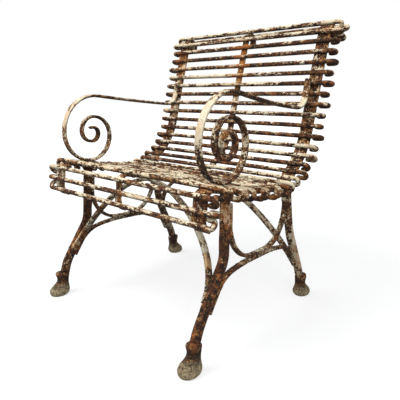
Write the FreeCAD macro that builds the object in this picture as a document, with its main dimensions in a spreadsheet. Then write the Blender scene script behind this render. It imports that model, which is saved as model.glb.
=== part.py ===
import FreeCAD, Part
import math
import os
import Sketcher
from FreeCAD import Placement, Rotation, Vector

# Riveted garden armchair of forged bars and rods, on four cast hoof feet.
# The chair faces -Y, +X is on the right of someone who looks along +Y, and the floor is z = 0.
# Three J-shaped straps carry the rods of the seat and back. Lengths are in mm, turns in degrees.

SIZES = {
    # Chair as a whole
    "strap_spacing": 270,
    "arm_spacing": 258,
    "leg_splay": 1.9,
    # Side profile of the straps, from under the front edge to the rear of the top roll
    "strap_start_reach": 246.2,
    "strap_start_height": 318.9,
    "strap_start_slope": 154.15,
    "under_roll_radius": 31,
    "under_roll_turn": 70.6,
    "apron_length": 42,
    "front_roll_radius": 17.5,
    "front_roll_turn": 95.6,
    "seat_length": 243,
    "seat_bow_turn": 8,
    "hollow_radius": 198,
    "hollow_turn": 81,
    "back_length": 282,
    "back_bow_turn": 2.6,
    "top_roll_radius": 19.6,
    "top_roll_turn": 210.6,
    "strap_width": 38,
    "centre_strap_width": 20,
    "strap_thickness": 6,
    # Rods and where they lie along the straps
    "rod_radius": 6,
    "apron_rods": 3,
    "seat_and_back_rods": 26,
    "top_rods": 4,
    "first_rod_margin": 34,
    "apron_rod_gap": 33,
    "seat_rod_margin": 5,
    "back_rod_margin": 33,
    "top_rod_margin": 6.5,
    "last_rod_margin": 7,
    "hook_radius": 10,
    "top_hook_radius": 8,
    "half_turn": 180,
    "apron_hook_lean": 40,
    "short_reach": 304,
    "middle_reach": 308,
    "long_reach": 312,
    "short_tail": 13,
    "middle_tail": 17,
    "long_tail": 21,
    # Arms
    "arm_width": 19,
    "arm_thickness": 8,
    "arm_edge": 4,
    "arm_tab_top": 10,
    "arm_bend_radius": 46,
    "arm_bend_turn": 78.5,
    "scroll_turn": 103.5,
    "quarter_turn": 90,
    "scroll_quarters": 4,
    "right_bow_radius": 2200,
    "right_bow_turn": 7.4,
    "right_front_radius": 110.7,
    "right_front_turn": 101.4,
    "right_under_radius": 91.5,
    "right_scroll_radius": 80.7,
    "right_scroll_ratio": 0.8,
    "right_scroll_end_turn": 220,
    "left_bow_radius": 7800,
    "left_bow_turn": 2,
    "left_front_radius": 107.5,
    "left_front_turn": 96,
    "left_under_radius": 84.1,
    "left_scroll_radius": 73.8,
    "left_scroll_ratio": 0.75,
    "left_scroll_end_turn": 117,
    # Legs
    "leg_width": 25,
    "leg_thickness": 17,
    "leg_edge": 9,
    "leg_top_radius": 40,
    "front_leg_place": 0.46,
    "rear_leg_place": 0.5,
    "ankle_height": 68,
    "leg_end_length": 10,
    "front_right_ankle_reach": -278,
    "front_right_top_turn": 8.3,
    "front_right_knee_radius": 74,
    "front_right_knee_turn": 33.1,
    "front_right_ankle_radius": 188,
    "front_right_ankle_turn": 12.7,
    "front_left_ankle_reach": -262.3,
    "front_left_top_turn": 7.4,
    "front_left_knee_radius": 82,
    "front_left_knee_turn": 30.1,
    "front_left_ankle_radius": 115,
    "front_left_ankle_turn": 21,
    "rear_right_ankle_reach": 216.4,
    "rear_right_top_turn": 19,
    "rear_right_knee_radius": 281,
    "rear_right_knee_turn": 18.3,
    "rear_right_ankle_radius": 148,
    "rear_right_ankle_turn": 11.6,
    "rear_left_ankle_reach": 216.4,
    "rear_left_top_turn": 19,
    "rear_left_knee_radius": 281,
    "rear_left_knee_turn": 18.3,
    "rear_left_ankle_radius": 148,
    "rear_left_ankle_turn": 11.6,
    "tenon_radius": 5,
    "tenon_head_radius": 7.5,
    "tenon_head_height": 2.5,
    "tenon_root": 3,
    "leg_gap": 0.3,
    "foot_tenon_radius": 6.5,
    "foot_tenon_length": 30,
    # Bars between the front and the rear leg of a side
    "side_bar_width": 13,
    "side_bar_thickness": 9,
    "side_bar_inset": 1.7,
    "u_front_distance": 25,
    "u_front_length": 47,
    "u_corner_radius": 103,
    "u_front_turn": 91.4,
    "u_rear_distance": 44,
    "right_arch_front_distance": 285,
    "left_arch_front_distance": 283,
    "arch_front_radius": 92,
    "arch_front_turn": 48,
    "arch_rear_radius": 85,
    "arch_rear_turn": 50,
    "arch_rear_distance": 285,
    # Cross bars from the left leg over to the right leg
    "cross_bar_width": 18,
    "cross_bar_thickness": 8,
    "front_foot_distance": 268,
    "front_foot_lean": 6,
    "front_foot_pull": 115,
    "front_crown_pull": 122,
    "rear_foot_distance": 300,
    "rear_foot_lean": 13,
    "rear_foot_pull": 200,
    "rear_crown_pull": 120,
    # Hoof feet: half lengths and half widths of the sections, their heights and outward shifts
    "sole_half_length": 25,
    "sole_half_width": 20,
    "sole_shift": 22,
    "rim_half_length": 31,
    "rim_half_width": 25.5,
    "rim_height": 13,
    "rim_shift": 20,
    "crown_half_length": 23,
    "crown_half_width": 19,
    "crown_height": 29,
    "crown_shift": 13,
    "neck_half_length": 17.5,
    "neck_half_width": 15.5,
    "neck_height": 46,
    "neck_shift": 7,
    "collar_half_length": 21.5,
    "collar_half_width": 16.5,
    "collar_height": 61,
    "collar_shift": 8,
    "top_half_length": 15,
    "top_half_width": 13.5,
    "hoof_pin_radius": 3,
    "hoof_pin_length": 26,
    "hoof_pin_distance": 14,
    # Rivets, clearances and margins
    "rivet_radius": 2.5,
    "rivet_head_radius": 4,
    "rivet_head_height": 2,
    "rivet_tail_radius": 3.5,
    "rivet_tail_height": 1.4,
    "rod_flat": 4.8,
    "head_sink": 1,
    "tail_gap": 0.5,
    "seat_gap": 0.2,
    "hole_clearance": 0.3,
    "drill_margin": 1.2,
    "edge_distance": 14,
}

doc = FreeCAD.newDocument("garden_armchair")
sheet = doc.addObject("Spreadsheet::Sheet", "sizes")
aliases = []


def put(name, number):
    """Writes a size into the sheet, in a cell that has the size's name as its alias."""
    if name not in aliases:
        aliases.append(name)
        sheet.set(f"A{len(aliases)}", name)
        sheet.setAlias(f"B{len(aliases)}", name)
    sheet.set(f"B{aliases.index(name) + 1}", f"{number:.9g}")


def size(names):
    """Reads a size, or the sum of sizes that are joined by plus signs, from the sheet."""
    return sum(float(sheet.get(name)) for name in names.split(" + "))


def bound(names):
    """The same sum as an expression on the sheet's cells."""
    return " + ".join(f"sizes.{name}" for name in names.split(" + "))


for size_name, number in SIZES.items():
    put(size_name, number)
doc.recompute()


# Paths: chains of tangent lines and arcs that start at a bar's own origin, heading along its +X

def trace(steps, distance=math.inf, offset=0.0):
    """Frame at a distance along a path, or along the line that runs beside it at an offset to its left.

    The frame's X axis points along the path and its Y axis to the left of it."""
    point = Vector(0, offset, 0)
    heading = 0.0
    for kind, length_name, *turn_name in steps:
        ahead = Vector(math.cos(math.radians(heading)), math.sin(math.radians(heading)), 0)
        if kind == "line":
            length = min(size(length_name), distance)
            point = point + ahead * length
        else:
            side = 1 if kind == "left" else -1
            radius = size(length_name) - side * offset
            turn = min(size(turn_name[0]), math.degrees(distance / radius))
            length = radius * math.radians(turn)
            centre = point + Vector(-ahead.y, ahead.x, 0) * side * radius
            point = centre + Rotation(Vector(0, 0, 1), side * turn).multVec(point - centre)
            heading += side * turn
        distance -= length
        if distance <= 0:
            break
    return Placement(point, Rotation(Vector(0, 0, 1), heading))


def path_length(steps, offset=0.0):
    """Length of the line that runs beside a path at an offset to its left."""
    total = 0.0
    for kind, length_name, *turn_name in steps:
        if kind == "line":
            total += size(length_name)
        else:
            side = 1 if kind == "left" else -1
            total += (size(length_name) - side * offset) * math.radians(size(turn_name[0]))
    return total


def close_path(steps, start, target, first, second):
    """Sets two sizes of a path so that it ends at a target point: the end moves in proportion to each."""

    def end_with(first_size, second_size):
        put(first, first_size)
        put(second, second_size)
        doc.recompute([sheet])
        return start.multiply(trace(steps)).Base

    middle = end_with(100, 100)
    by_first = (end_with(101, 100) - middle)
    by_second = (end_with(100, 101) - middle)
    miss = target - middle
    area = by_first.cross(by_second)
    first_change = miss.cross(by_second).dot(area) / area.dot(area)
    second_change = by_first.cross(miss).dot(area) / area.dot(area)
    end_with(100 + first_change, 100 + second_change)


# Frames

def frame_of(point, along, across):
    """Placement with its X axis along one direction and its Y axis in the plane of a second one."""
    return Placement(point, Rotation(along, across, Vector(), "XYZ"))


def side_frame(y, z, slope):
    """Placement in the chair's middle plane, heading up from +Y by a slope, with its Z axis along +X."""
    angle = math.radians(slope)
    along = Vector(0, math.cos(angle), math.sin(angle))
    return frame_of(Vector(0, y, z), along, Vector(0, -along.z, along.y))


def moved(frame, x=0.0, y=0.0, z=0.0):
    """A frame shifted along its own axes."""
    return frame.multiply(Placement(Vector(x, y, z), Rotation()))


def flipped(frame):
    """A frame turned by half a turn about its own X axis, so that its Y axis points the other way."""
    return frame.multiply(Placement(Vector(), Rotation(Vector(1, 0, 0), 180)))


def turn_between(first, second):
    """Left turn, from 0 to 360 degrees, that takes the X axis of one frame to that of another."""
    along = first.Rotation.inverted().multVec(second.Rotation.multVec(Vector(1, 0, 0)))
    return math.degrees(math.atan2(along.y, along.x)) % 360


def side_move(x):
    """Shift of the middle plane to one side."""
    return Placement(Vector(x, 0, 0), Rotation())


# Sketches and bodies

def origin_plane(body, role):
    return next(item for item in body.Origin.OriginFeatures if item.Role == role)


def new_sketch(body, name, role, turn=0.0):
    """Sketch on one of a body's own origin planes, turned about that plane's normal."""
    sketch = body.newObject("Sketcher::SketchObject", name)
    sketch.AttachmentSupport = [(origin_plane(body, role), "")]
    sketch.MapMode = "FlatFace"
    sketch.AttachmentOffset = Placement(Vector(), Rotation(Vector(0, 0, 1), turn))
    return sketch


def dimension(sketch, name, expression, *terms):
    """Named sketch dimension that follows the sheet."""
    index = sketch.addConstraint(Sketcher.Constraint(*terms))
    sketch.renameConstraint(index, name)
    sketch.setExpression(f"Constraints.{name}", expression)


def draw_path(body, steps):
    """Sketch of a path on the body's XY plane, with every length, radius and turn tied to the sheet."""
    sketch = new_sketch(body, "path", "XY_Plane")
    frame = Placement()
    previous_end = None
    for number, (kind, length_name, *turn_name) in enumerate(steps):
        after = trace(steps[:number + 1])
        if kind == "line":
            edge = sketch.addGeometry(Part.LineSegment(frame.Base, after.Base))
            entry, leave = 1, 2
        else:
            radius = size(length_name)
            side = 1 if kind == "left" else -1
            centre = frame.multVec(Vector(0, side * radius, 0))
            start = math.atan2(frame.Base.y - centre.y, frame.Base.x - centre.x)
            sweep = math.radians(size(turn_name[0]))
            if kind == "right":
                start -= sweep
            circle = Part.Circle(centre, Vector(0, 0, 1), radius)
            edge = sketch.addGeometry(Part.ArcOfCircle(circle, start, start + sweep))
            entry, leave = (1, 2) if kind == "left" else (2, 1)
        if previous_end:
            sketch.addConstraint(Sketcher.Constraint("Tangent", *previous_end, edge, entry))
        else:
            sketch.addConstraint(Sketcher.Constraint("Coincident", edge, entry, -1, 1))
            if kind == "line":
                sketch.addConstraint(Sketcher.Constraint("Horizontal", edge))
            else:
                sketch.addConstraint(Sketcher.Constraint("PointOnObject", edge, 3, -2))
        if kind == "line":
            dimension(sketch, f"length_{number}", bound(length_name), "Distance", edge, size(length_name))
        else:
            dimension(sketch, f"radius_{number}", bound(length_name), "Radius", edge, radius)
            dimension(sketch, f"turn_{number}", bound(turn_name[0]), "Angle", edge, sweep)
        previous_end = (edge, leave)
        frame = after
    return sketch


def round_section(body, radius):
    """Circle on the plane where a path starts."""
    sketch = new_sketch(body, "section", "YZ_Plane")
    circle = sketch.addGeometry(Part.Circle(Vector(), Vector(0, 0, 1), size(radius)))
    sketch.addConstraint(Sketcher.Constraint("Coincident", circle, 3, -1, 1))
    dimension(sketch, "radius", bound(radius), "Radius", circle, size(radius))
    return sketch


def join_ends(sketch, count):
    """Joins each edge of a closed outline to the next one."""
    for edge in range(count):
        sketch.addConstraint(Sketcher.Constraint("Coincident", edge, 2, (edge + 1) % count, 1))


def flat_section(body, width, thickness):
    """Rectangle centred on the path, with its width across the plane of the bends."""
    sketch = new_sketch(body, "section", "YZ_Plane")
    half_width, half_thickness = size(width) / 2, size(thickness) / 2
    corners = [Vector(-half_thickness, -half_width), Vector(half_thickness, -half_width),
               Vector(half_thickness, half_width), Vector(-half_thickness, half_width)]
    for first, second in zip(corners, corners[1:] + corners[:1]):
        sketch.addGeometry(Part.LineSegment(first, second))
    join_ends(sketch, 4)
    for edge in (0, 2):
        sketch.addConstraint(Sketcher.Constraint("Horizontal", edge))
    for edge in (1, 3):
        sketch.addConstraint(Sketcher.Constraint("Vertical", edge))
    sketch.addConstraint(Sketcher.Constraint("Symmetric", 0, 1, 2, 1, -1, 1))
    dimension(sketch, "thickness", bound(thickness), "Distance", 0, size(thickness))
    dimension(sketch, "width", bound(width), "Distance", 1, size(width))
    return sketch


def half_round_section(body, width, thickness, edge, turn):
    """Flat-backed section with a domed face. The turn says where the dome looks: 0 is the bar's +Z."""
    sketch = new_sketch(body, "section", "YZ_Plane", turn)
    half_width, half_thickness, rise = size(width) / 2, size(thickness) / 2, size(thickness) - size(edge)
    shoulder = size(edge) - half_thickness
    radius = (half_width ** 2 + rise ** 2) / (2 * rise)
    span = math.asin(half_width / radius)
    corners = [Vector(-half_width, shoulder), Vector(-half_width, -half_thickness),
               Vector(half_width, -half_thickness), Vector(half_width, shoulder)]
    for first, second in zip(corners, corners[1:]):
        sketch.addGeometry(Part.LineSegment(first, second))
    dome = Part.Circle(Vector(0, half_thickness - radius), Vector(0, 0, 1), radius)
    sketch.addGeometry(Part.ArcOfCircle(dome, math.pi / 2 - span, math.pi / 2 + span))
    join_ends(sketch, 4)
    for side in (0, 2):
        sketch.addConstraint(Sketcher.Constraint("Vertical", side))
    sketch.addConstraint(Sketcher.Constraint("Equal", 0, 2))
    sketch.addConstraint(Sketcher.Constraint("Symmetric", 1, 1, 1, 2, -2))
    dimension(sketch, "width", bound(width), "Distance", 1, size(width))
    dimension(sketch, "edge", bound(edge), "Distance", 0, size(edge))
    dimension(sketch, "back", f"{bound(thickness)} / 2", "DistanceY", 1, 1, -1, 1, half_thickness)
    rise_names = f"({bound(thickness)} - {bound(edge)})"
    dome_radius = f"(({bound(width)} / 2)^2 + {rise_names}^2) / (2 * {rise_names})"
    dimension(sketch, "dome", dome_radius, "Radius", 3, radius)
    return sketch


class Bar:
    """A bar of one section that follows a path, and the cutters of the holes in it."""

    def __init__(self, name, steps, start, section, *section_sizes):
        self.name = name
        self.steps = steps
        self.start = start
        self.cutters = []
        self.joined = []
        self.solid = doc.addObject("PartDesign::Body", f"{name}_bar")
        pipe_path = draw_path(self.solid, steps)
        profile = section(self.solid, *section_sizes)
        pipe = self.solid.newObject("PartDesign::AdditivePipe", "pipe")
        pipe.Profile = profile
        pipe.Spine = (pipe_path, [])
        self.solid.Placement = start

    def frame(self, distance=math.inf, offset=0.0):
        """Frame at a distance along the bar's path, or along the line at an offset to its left."""
        return self.start.multiply(trace(self.steps, distance, offset))


class Casting:
    """A piece that is not a bent bar, and the cutters of the holes in it."""

    def __init__(self, name, solid):
        self.name = name
        self.solid = solid
        self.cutters = []
        self.joined = []


def cylinder(name, frame, radius, height):
    """Cylinder whose axis is the frame's Y axis and whose foot is at the frame's origin."""
    solid = doc.addObject("Part::Cylinder", name)
    solid.setExpression("Radius", radius)
    solid.setExpression("Height", height)
    solid.Placement = frame.multiply(Placement(Vector(), Rotation(Vector(1, 0, 0), -90)))
    return solid


def finish(part):
    """Joins the forged-on pieces of a part, drills it and names it."""
    solid = part.solid
    if part.joined:
        whole = doc.addObject("Part::MultiFuse", f"{part.name}_whole")
        whole.Shapes = [solid] + part.joined
        solid = whole
    if part.cutters:
        tools = doc.addObject("Part::MultiFuse", f"{part.name}_cutters")
        tools.Shapes = part.cutters
        drilled = doc.addObject("Part::Cut", f"{part.name}_drilled")
        drilled.Base = solid
        drilled.Tool = tools
        solid = drilled
    solid.Label = part.name
    return solid


# Rivets: a domed head on the frame's Y side, a shank along -Y and a smaller domed tail

rivet_places = {}
GRIPS = {
    "rod_rivets": "rod_flat + rod_radius + seat_gap + strap_thickness + tail_gap",
    "arm_rivets": "arm_half + rod_diameter + seat_gap + seat_gap + strap_thickness + tail_gap",
    "leg_rivets": "leg_width + seat_gap + side_bar_thickness",
    "arch_rivets": "side_bar_thickness + seat_gap + side_bar_thickness",
    "cross_bar_foot_rivets": "foot_grip + seat_gap + cross_bar_thickness + tail_gap + tail_gap",
    "cross_bar_crown_rivets": "crown_grip + cross_bar_thickness + tail_gap",
}


def rivet(kind, frame, parts, flat=False):
    """Sets a rivet with its head seated at a frame, and drills the parts that it goes through.

    A flat is cut under the head where it sits on a round or domed face."""
    rivet_places.setdefault(kind, []).append(frame)
    hole_radius = f"{bound('rivet_radius')} + {bound('hole_clearance')}"
    margin = bound("drill_margin")
    foot = moved(frame, y=-size(GRIPS[kind]) - size("drill_margin"))
    hole = cylinder("rivet_hole", foot, hole_radius, f"{bound(GRIPS[kind])} + 2 * {margin}")
    for part in parts:
        part.cutters.append(hole)
    if flat:
        head_radius = f"{bound('rivet_head_radius')} + {bound('hole_clearance')}"
        parts[0].cutters.append(cylinder("head_flat", frame, head_radius, f"4 * {margin}"))


def rivet_shape(grip):
    """Solid of one rivet about the Y axis, with its head seated at the origin."""

    def dome(radius, height, level, way):
        ball_radius = (radius ** 2 + height ** 2) / (2 * height)
        middle = Vector(0, level + way * (height - ball_radius), 0)
        slope = math.asin(radius / ball_radius) / 2
        between = middle + Vector(math.sin(slope), way * math.cos(slope), 0) * ball_radius
        return Part.Arc(Vector(radius, level, 0), between, Vector(0, level + way * height, 0)).toShape()

    head, tail, shank = size("rivet_head_radius"), size("rivet_tail_radius"), size("rivet_radius")
    top = dome(head, size("rivet_head_height"), 0, 1)
    bottom = dome(tail, size("rivet_tail_height"), -grip, -1)
    corners = [Vector(head, 0, 0), Vector(shank, 0, 0), Vector(shank, -grip, 0), Vector(tail, -grip, 0)]
    axis = [Vector(0, -grip - size("rivet_tail_height"), 0), Vector(0, size("rivet_head_height"), 0)]
    outline = [top, bottom] + Part.makePolygon(corners).Edges + Part.makePolygon(axis).Edges
    face = Part.Face(Part.Wire(Part.sortEdges(outline)[0]))
    return face.revolve(Vector(), Vector(0, 1, 0), 360)


def add_group(name, shape, frames):
    """Node that holds a group of like pieces, one at each frame."""
    group = doc.addObject("Part::Feature", name)
    group.Shape = Part.makeCompound([shape.transformed(frame.toMatrix()) for frame in frames])
    group.Label = name
    return group


# Straps

STRAP_PATH = [
    ("right", "under_roll_radius", "under_roll_turn"),
    ("line", "apron_length"),
    ("right", "front_roll_radius", "front_roll_turn"),
    ("left", "seat_bow_radius", "seat_bow_turn"),
    ("left", "hollow_radius", "hollow_turn"),
    ("right", "back_bow_radius", "back_bow_turn"),
    ("right", "top_roll_radius", "top_roll_turn"),
]
put("seat_bow_radius", size("seat_length") / math.radians(size("seat_bow_turn")))
put("back_bow_radius", size("back_length") / math.radians(size("back_bow_turn")))
put("arm_half", size("arm_thickness") - size("head_sink"))
put("rod_diameter", 2 * size("rod_radius"))
put("foot_grip", size("leg_thickness") - size("head_sink"))
put("crown_grip", size("rod_flat") + size("rod_radius") + size("strap_thickness") + 2 * size("seat_gap"))
doc.recompute()

ROD_LINE = size("rod_radius") + size("seat_gap") + size("strap_thickness") / 2
STRAP_BACK = ROD_LINE + size("strap_thickness") / 2 + size("seat_gap")
strap_start = side_frame(-size("strap_start_reach"), size("strap_start_height"), size("strap_start_slope"))


def make_strap(name, x, width):
    start = side_move(x).multiply(strap_start)
    return Bar(name, STRAP_PATH, start, flat_section, width, "strap_thickness")


right_strap = make_strap("right_strap", size("strap_spacing"), "strap_width")
left_strap = make_strap("left_strap", -size("strap_spacing"), "strap_width")
centre_strap = make_strap("centre_strap", 0, "centre_strap_width")


# Rods: a group up the apron, one from the front roll to the head of the back, and one round the top roll

def spread(first, last, count):
    """Evenly spaced distances from the first to the last."""
    return [first + (last - first) * number / (count - 1) for number in range(count)]


seat_start = path_length(STRAP_PATH[:3], ROD_LINE) - size("seat_rod_margin")
back_end = path_length(STRAP_PATH[:6], ROD_LINE)
rod_distances = spread(size("first_rod_margin"), seat_start - size("apron_rod_gap"), int(size("apron_rods")))
rod_distances += spread(seat_start, back_end - size("back_rod_margin"), int(size("seat_and_back_rods")))
rod_distances += spread(back_end - size("top_rod_margin"),
                        path_length(STRAP_PATH, ROD_LINE) - size("last_rod_margin"), int(size("top_rods")))
ROD_NAMES = [f"front_rod_{number}" for number in range(1, 5)]
ROD_NAMES += [f"seat_rod_{number}" for number in range(1, 10)]
ROD_NAMES += [f"back_rod_{number}" for number in range(1, 17)]
ROD_NAMES += [f"top_rod_{number}" for number in range(1, 5)]
HOOK_LENGTHS = ["short", "middle", "long"]


def rod_frame(strap, name):
    """Frame on a strap at the centre of a rod, with its Y axis out of the seat or back."""
    return strap.frame(rod_distances[ROD_NAMES.index(name)], ROD_LINE)


def make_rod(number, name):
    """Rod whose two ends are bent back behind the straps. Their lengths differ, as on a forged chair."""
    left = HOOK_LENGTHS[number ** 2 % 11 % 3]
    right = HOOK_LENGTHS[(number ** 2 + number) % 7 % 3]
    bend = "top_hook_radius" if name.startswith("top") else "hook_radius"
    steps = [
        ("line", f"{left}_tail"),
        ("left", bend, "half_turn"),
        ("line", f"{left}_reach + {right}_reach"),
        ("left", bend, "half_turn"),
        ("line", f"{right}_tail"),
    ]
    centre = centre_strap.frame(rod_distances[number], ROD_LINE)
    lean = size("apron_hook_lean") * (1 - number) if number < size("apron_rods") else 0
    turned = centre.multiply(Placement(Vector(), Rotation(centre.Rotation.inverted().multVec(Vector(1, 0, 0)), lean)))
    outward = turned.Rotation.multVec(Vector(0, 1, 0))
    corner = turned.Base - outward * 2 * size(bend) - Vector(size(f"{left}_reach") - size(f"{left}_tail"), 0, 0)
    return Bar(name, steps, frame_of(corner, Vector(-1, 0, 0), outward), round_section, "rod_radius")


rods = {name: make_rod(number, name) for number, name in enumerate(ROD_NAMES)}

ARM_TAB_RODS = ["back_rod_12", "back_rod_11"]
ARM_SEAT_ROD = "seat_rod_2"
CROWN_RODS = {"front": "seat_rod_3", "rear": "back_rod_1"}

for name, rod in rods.items():
    for strap in (right_strap, centre_strap, left_strap):
        side_rod_of_arm = strap is not centre_strap and name in ARM_TAB_RODS + [ARM_SEAT_ROD]
        crown_rod = strap is centre_strap and name in CROWN_RODS.values()
        if not side_rod_of_arm and not crown_rod:
            head = moved(rod_frame(strap, name), y=size("rod_flat"))
            rivet("rod_rivets", head, [rod, strap], flat=True)


# Arms: a tab on the fronts of two back rods, a run forward, and a scroll that rests on a seat rod

ARM_LINE = size("rod_radius") + size("seat_gap") + size("arm_thickness") / 2


def arm_on_rod(strap, name, side):
    """Frame of the arm's middle line where it lies on a rod."""
    inward = size("arm_spacing") - size("strap_spacing")
    return side_move(side * inward).multiply(moved(rod_frame(strap, name), y=ARM_LINE))


def scroll_radius(word, quarter):
    """Radius of a quarter of the scroll: each is smaller than the last in a fixed ratio."""
    return size(f"{word}_scroll_radius") * size(f"{word}_scroll_ratio") ** quarter


def make_arm(word, strap, side):
    """Arm that runs forward, turns down and back, and scrolls up inside itself."""
    top = moved(arm_on_rod(strap, ARM_TAB_RODS[0], side), x=size("arm_tab_top"))
    start = frame_of(top.Base, -top.Rotation.multVec(Vector(1, 0, 0)), top.Rotation.multVec(Vector(0, -1, 0)))
    seat = arm_on_rod(strap, ARM_SEAT_ROD, side)
    steps = [
        ("line", f"{word}_tab_length"),
        ("right", "arm_bend_radius", "arm_bend_turn"),
        ("right", f"{word}_bow_radius", f"{word}_bow_turn"),
        ("line", f"{word}_run_length"),
        ("left", f"{word}_front_radius", f"{word}_front_turn"),
        ("left", f"{word}_under_radius", f"{word}_under_turn"),
    ]
    earlier_turns = size(f"{word}_front_turn") - size(f"arm_bend_turn + {word}_bow_turn")
    put(f"{word}_under_turn", turn_between(start, seat) - earlier_turns)
    close_path(steps, start, seat.Base, f"{word}_tab_length", f"{word}_run_length")
    steps.append(("left", f"{word}_scroll_radius", "scroll_turn"))
    for quarter in range(1, int(size("scroll_quarters")) + 1):
        put(f"{word}_quarter_radius_{quarter}", scroll_radius(word, quarter))
        steps.append(("left", f"{word}_quarter_radius_{quarter}", "quarter_turn"))
    put(f"{word}_scroll_end_radius", scroll_radius(word, size("scroll_quarters") + 1))
    steps.append(("left", f"{word}_scroll_end_radius", f"{word}_scroll_end_turn"))
    doc.recompute([sheet])
    arm = Bar(f"{word}_arm", steps, start, half_round_section, "arm_width", "arm_thickness", "arm_edge", 270)
    for name in ARM_TAB_RODS + [ARM_SEAT_ROD]:
        head = moved(arm_on_rod(strap, name, side), y=size("arm_thickness") / 2 - size("head_sink"))
        rivet("arm_rivets", head, [arm, rods[name], strap], flat=True)
    return arm


arms = [make_arm("right", right_strap, 1), make_arm("left", left_strap, -1)]


# Legs: each hangs from a tenon through the strap, between two rods, and ends in a tenon in its hoof

def leg_path(end, word):
    """Steps of one leg: a turn under the seat, a knee the other way and an ankle back again."""
    first, second = ("left", "right") if end == "front" else ("right", "left")
    leg = f"{end}_{word}"
    return [
        (first, "leg_top_radius", f"{leg}_top_turn"),
        ("line", f"{leg}_upper_length"),
        (second, f"{leg}_knee_radius", f"{leg}_knee_turn"),
        ("line", f"{leg}_lower_length"),
        (first, f"{leg}_ankle_radius", f"{leg}_ankle_turn"),
        ("line", "leg_end_length"),
    ]


LEG_RODS = {"front": ("seat_rod_2", "seat_rod_3"), "rear": ("back_rod_2", "back_rod_3")}


def make_leg(end, word, strap, side):
    """Half-round leg with its domed face outward, spread sideways by the splay."""
    first, second = (rod_distances[ROD_NAMES.index(name)] for name in LEG_RODS[end])
    between = first + (second - first) * size(f"{end}_leg_place")
    under = moved(strap.frame(between, ROD_LINE), y=-STRAP_BACK)
    down = under.Rotation.multVec(Vector(0, -1, 0))
    splay = Placement(Vector(), Rotation(Vector(0, 1, 0), -side * size("leg_splay")))
    upright = frame_of(Vector(), down, under.Rotation.multVec(Vector(1, 0, 0)))
    top = moved(under, y=-size("leg_gap")).Base
    start = Placement(top, Rotation()).multiply(splay).multiply(upright)
    drop = (start.Base.z - size("ankle_height")) / math.cos(math.radians(size("leg_splay")))
    fall = Vector(0, size(f"{end}_{word}_ankle_reach") - start.Base.y, -drop)
    ankle = start.Base + splay.multVec(fall)
    steps = leg_path(end, word)
    close_path(steps, start, ankle, f"{end}_{word}_upper_length", f"{end}_{word}_lower_length")
    leg = Bar(f"{end}_{word}_leg", steps, start, half_round_section,
              "leg_width", "leg_thickness", "leg_edge", 0 if side > 0 else 180)
    hole = f"{bound('tenon_radius')} + {bound('hole_clearance')}"
    stack = f"{bound('strap_thickness')} + 2 * {bound('seat_gap')}"
    root = moved(under, y=-size("tenon_root"))
    leg.joined.append(cylinder("tenon", root, bound("tenon_radius"), f"{stack} + {bound('tenon_root')}"))
    above = moved(under, y=size("strap_thickness") + 2 * size("seat_gap"))
    leg.joined.append(cylinder("tenon_head", above, bound("tenon_head_radius"), bound("tenon_head_height")))
    strap.cutters.append(cylinder("tenon_hole", moved(under, y=-1), hole, f"{stack} + 2"))
    foot = leg.frame()
    axis = frame_of(foot.Base, foot.Rotation.multVec(Vector(0, 1, 0)), foot.Rotation.multVec(Vector(1, 0, 0)))
    leg.joined.append(cylinder("foot_tenon", axis, bound("foot_tenon_radius"), bound("foot_tenon_length")))
    leg.end_axis = axis
    leg.outward = -1 if end == "front" else 1
    return leg


SIDES = [("right", right_strap, 1), ("left", left_strap, -1)]
legs = {(end, word): make_leg(end, word, strap, side) for end in LEG_RODS for word, strap, side in SIDES}


# U-shaped bar and arch between the legs of each side, riveted to the legs and to each other

LEG_TO_BAR = size("leg_width") / 2 + size("seat_gap") + size("side_bar_thickness") / 2
BAR_TO_BAR = size("side_bar_thickness") + size("seat_gap")


def reversed_frame(frame):
    """A frame turned by half a turn about its own Z axis."""
    return frame.multiply(Placement(Vector(), Rotation(Vector(0, 0, 1), 180)))


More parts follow.
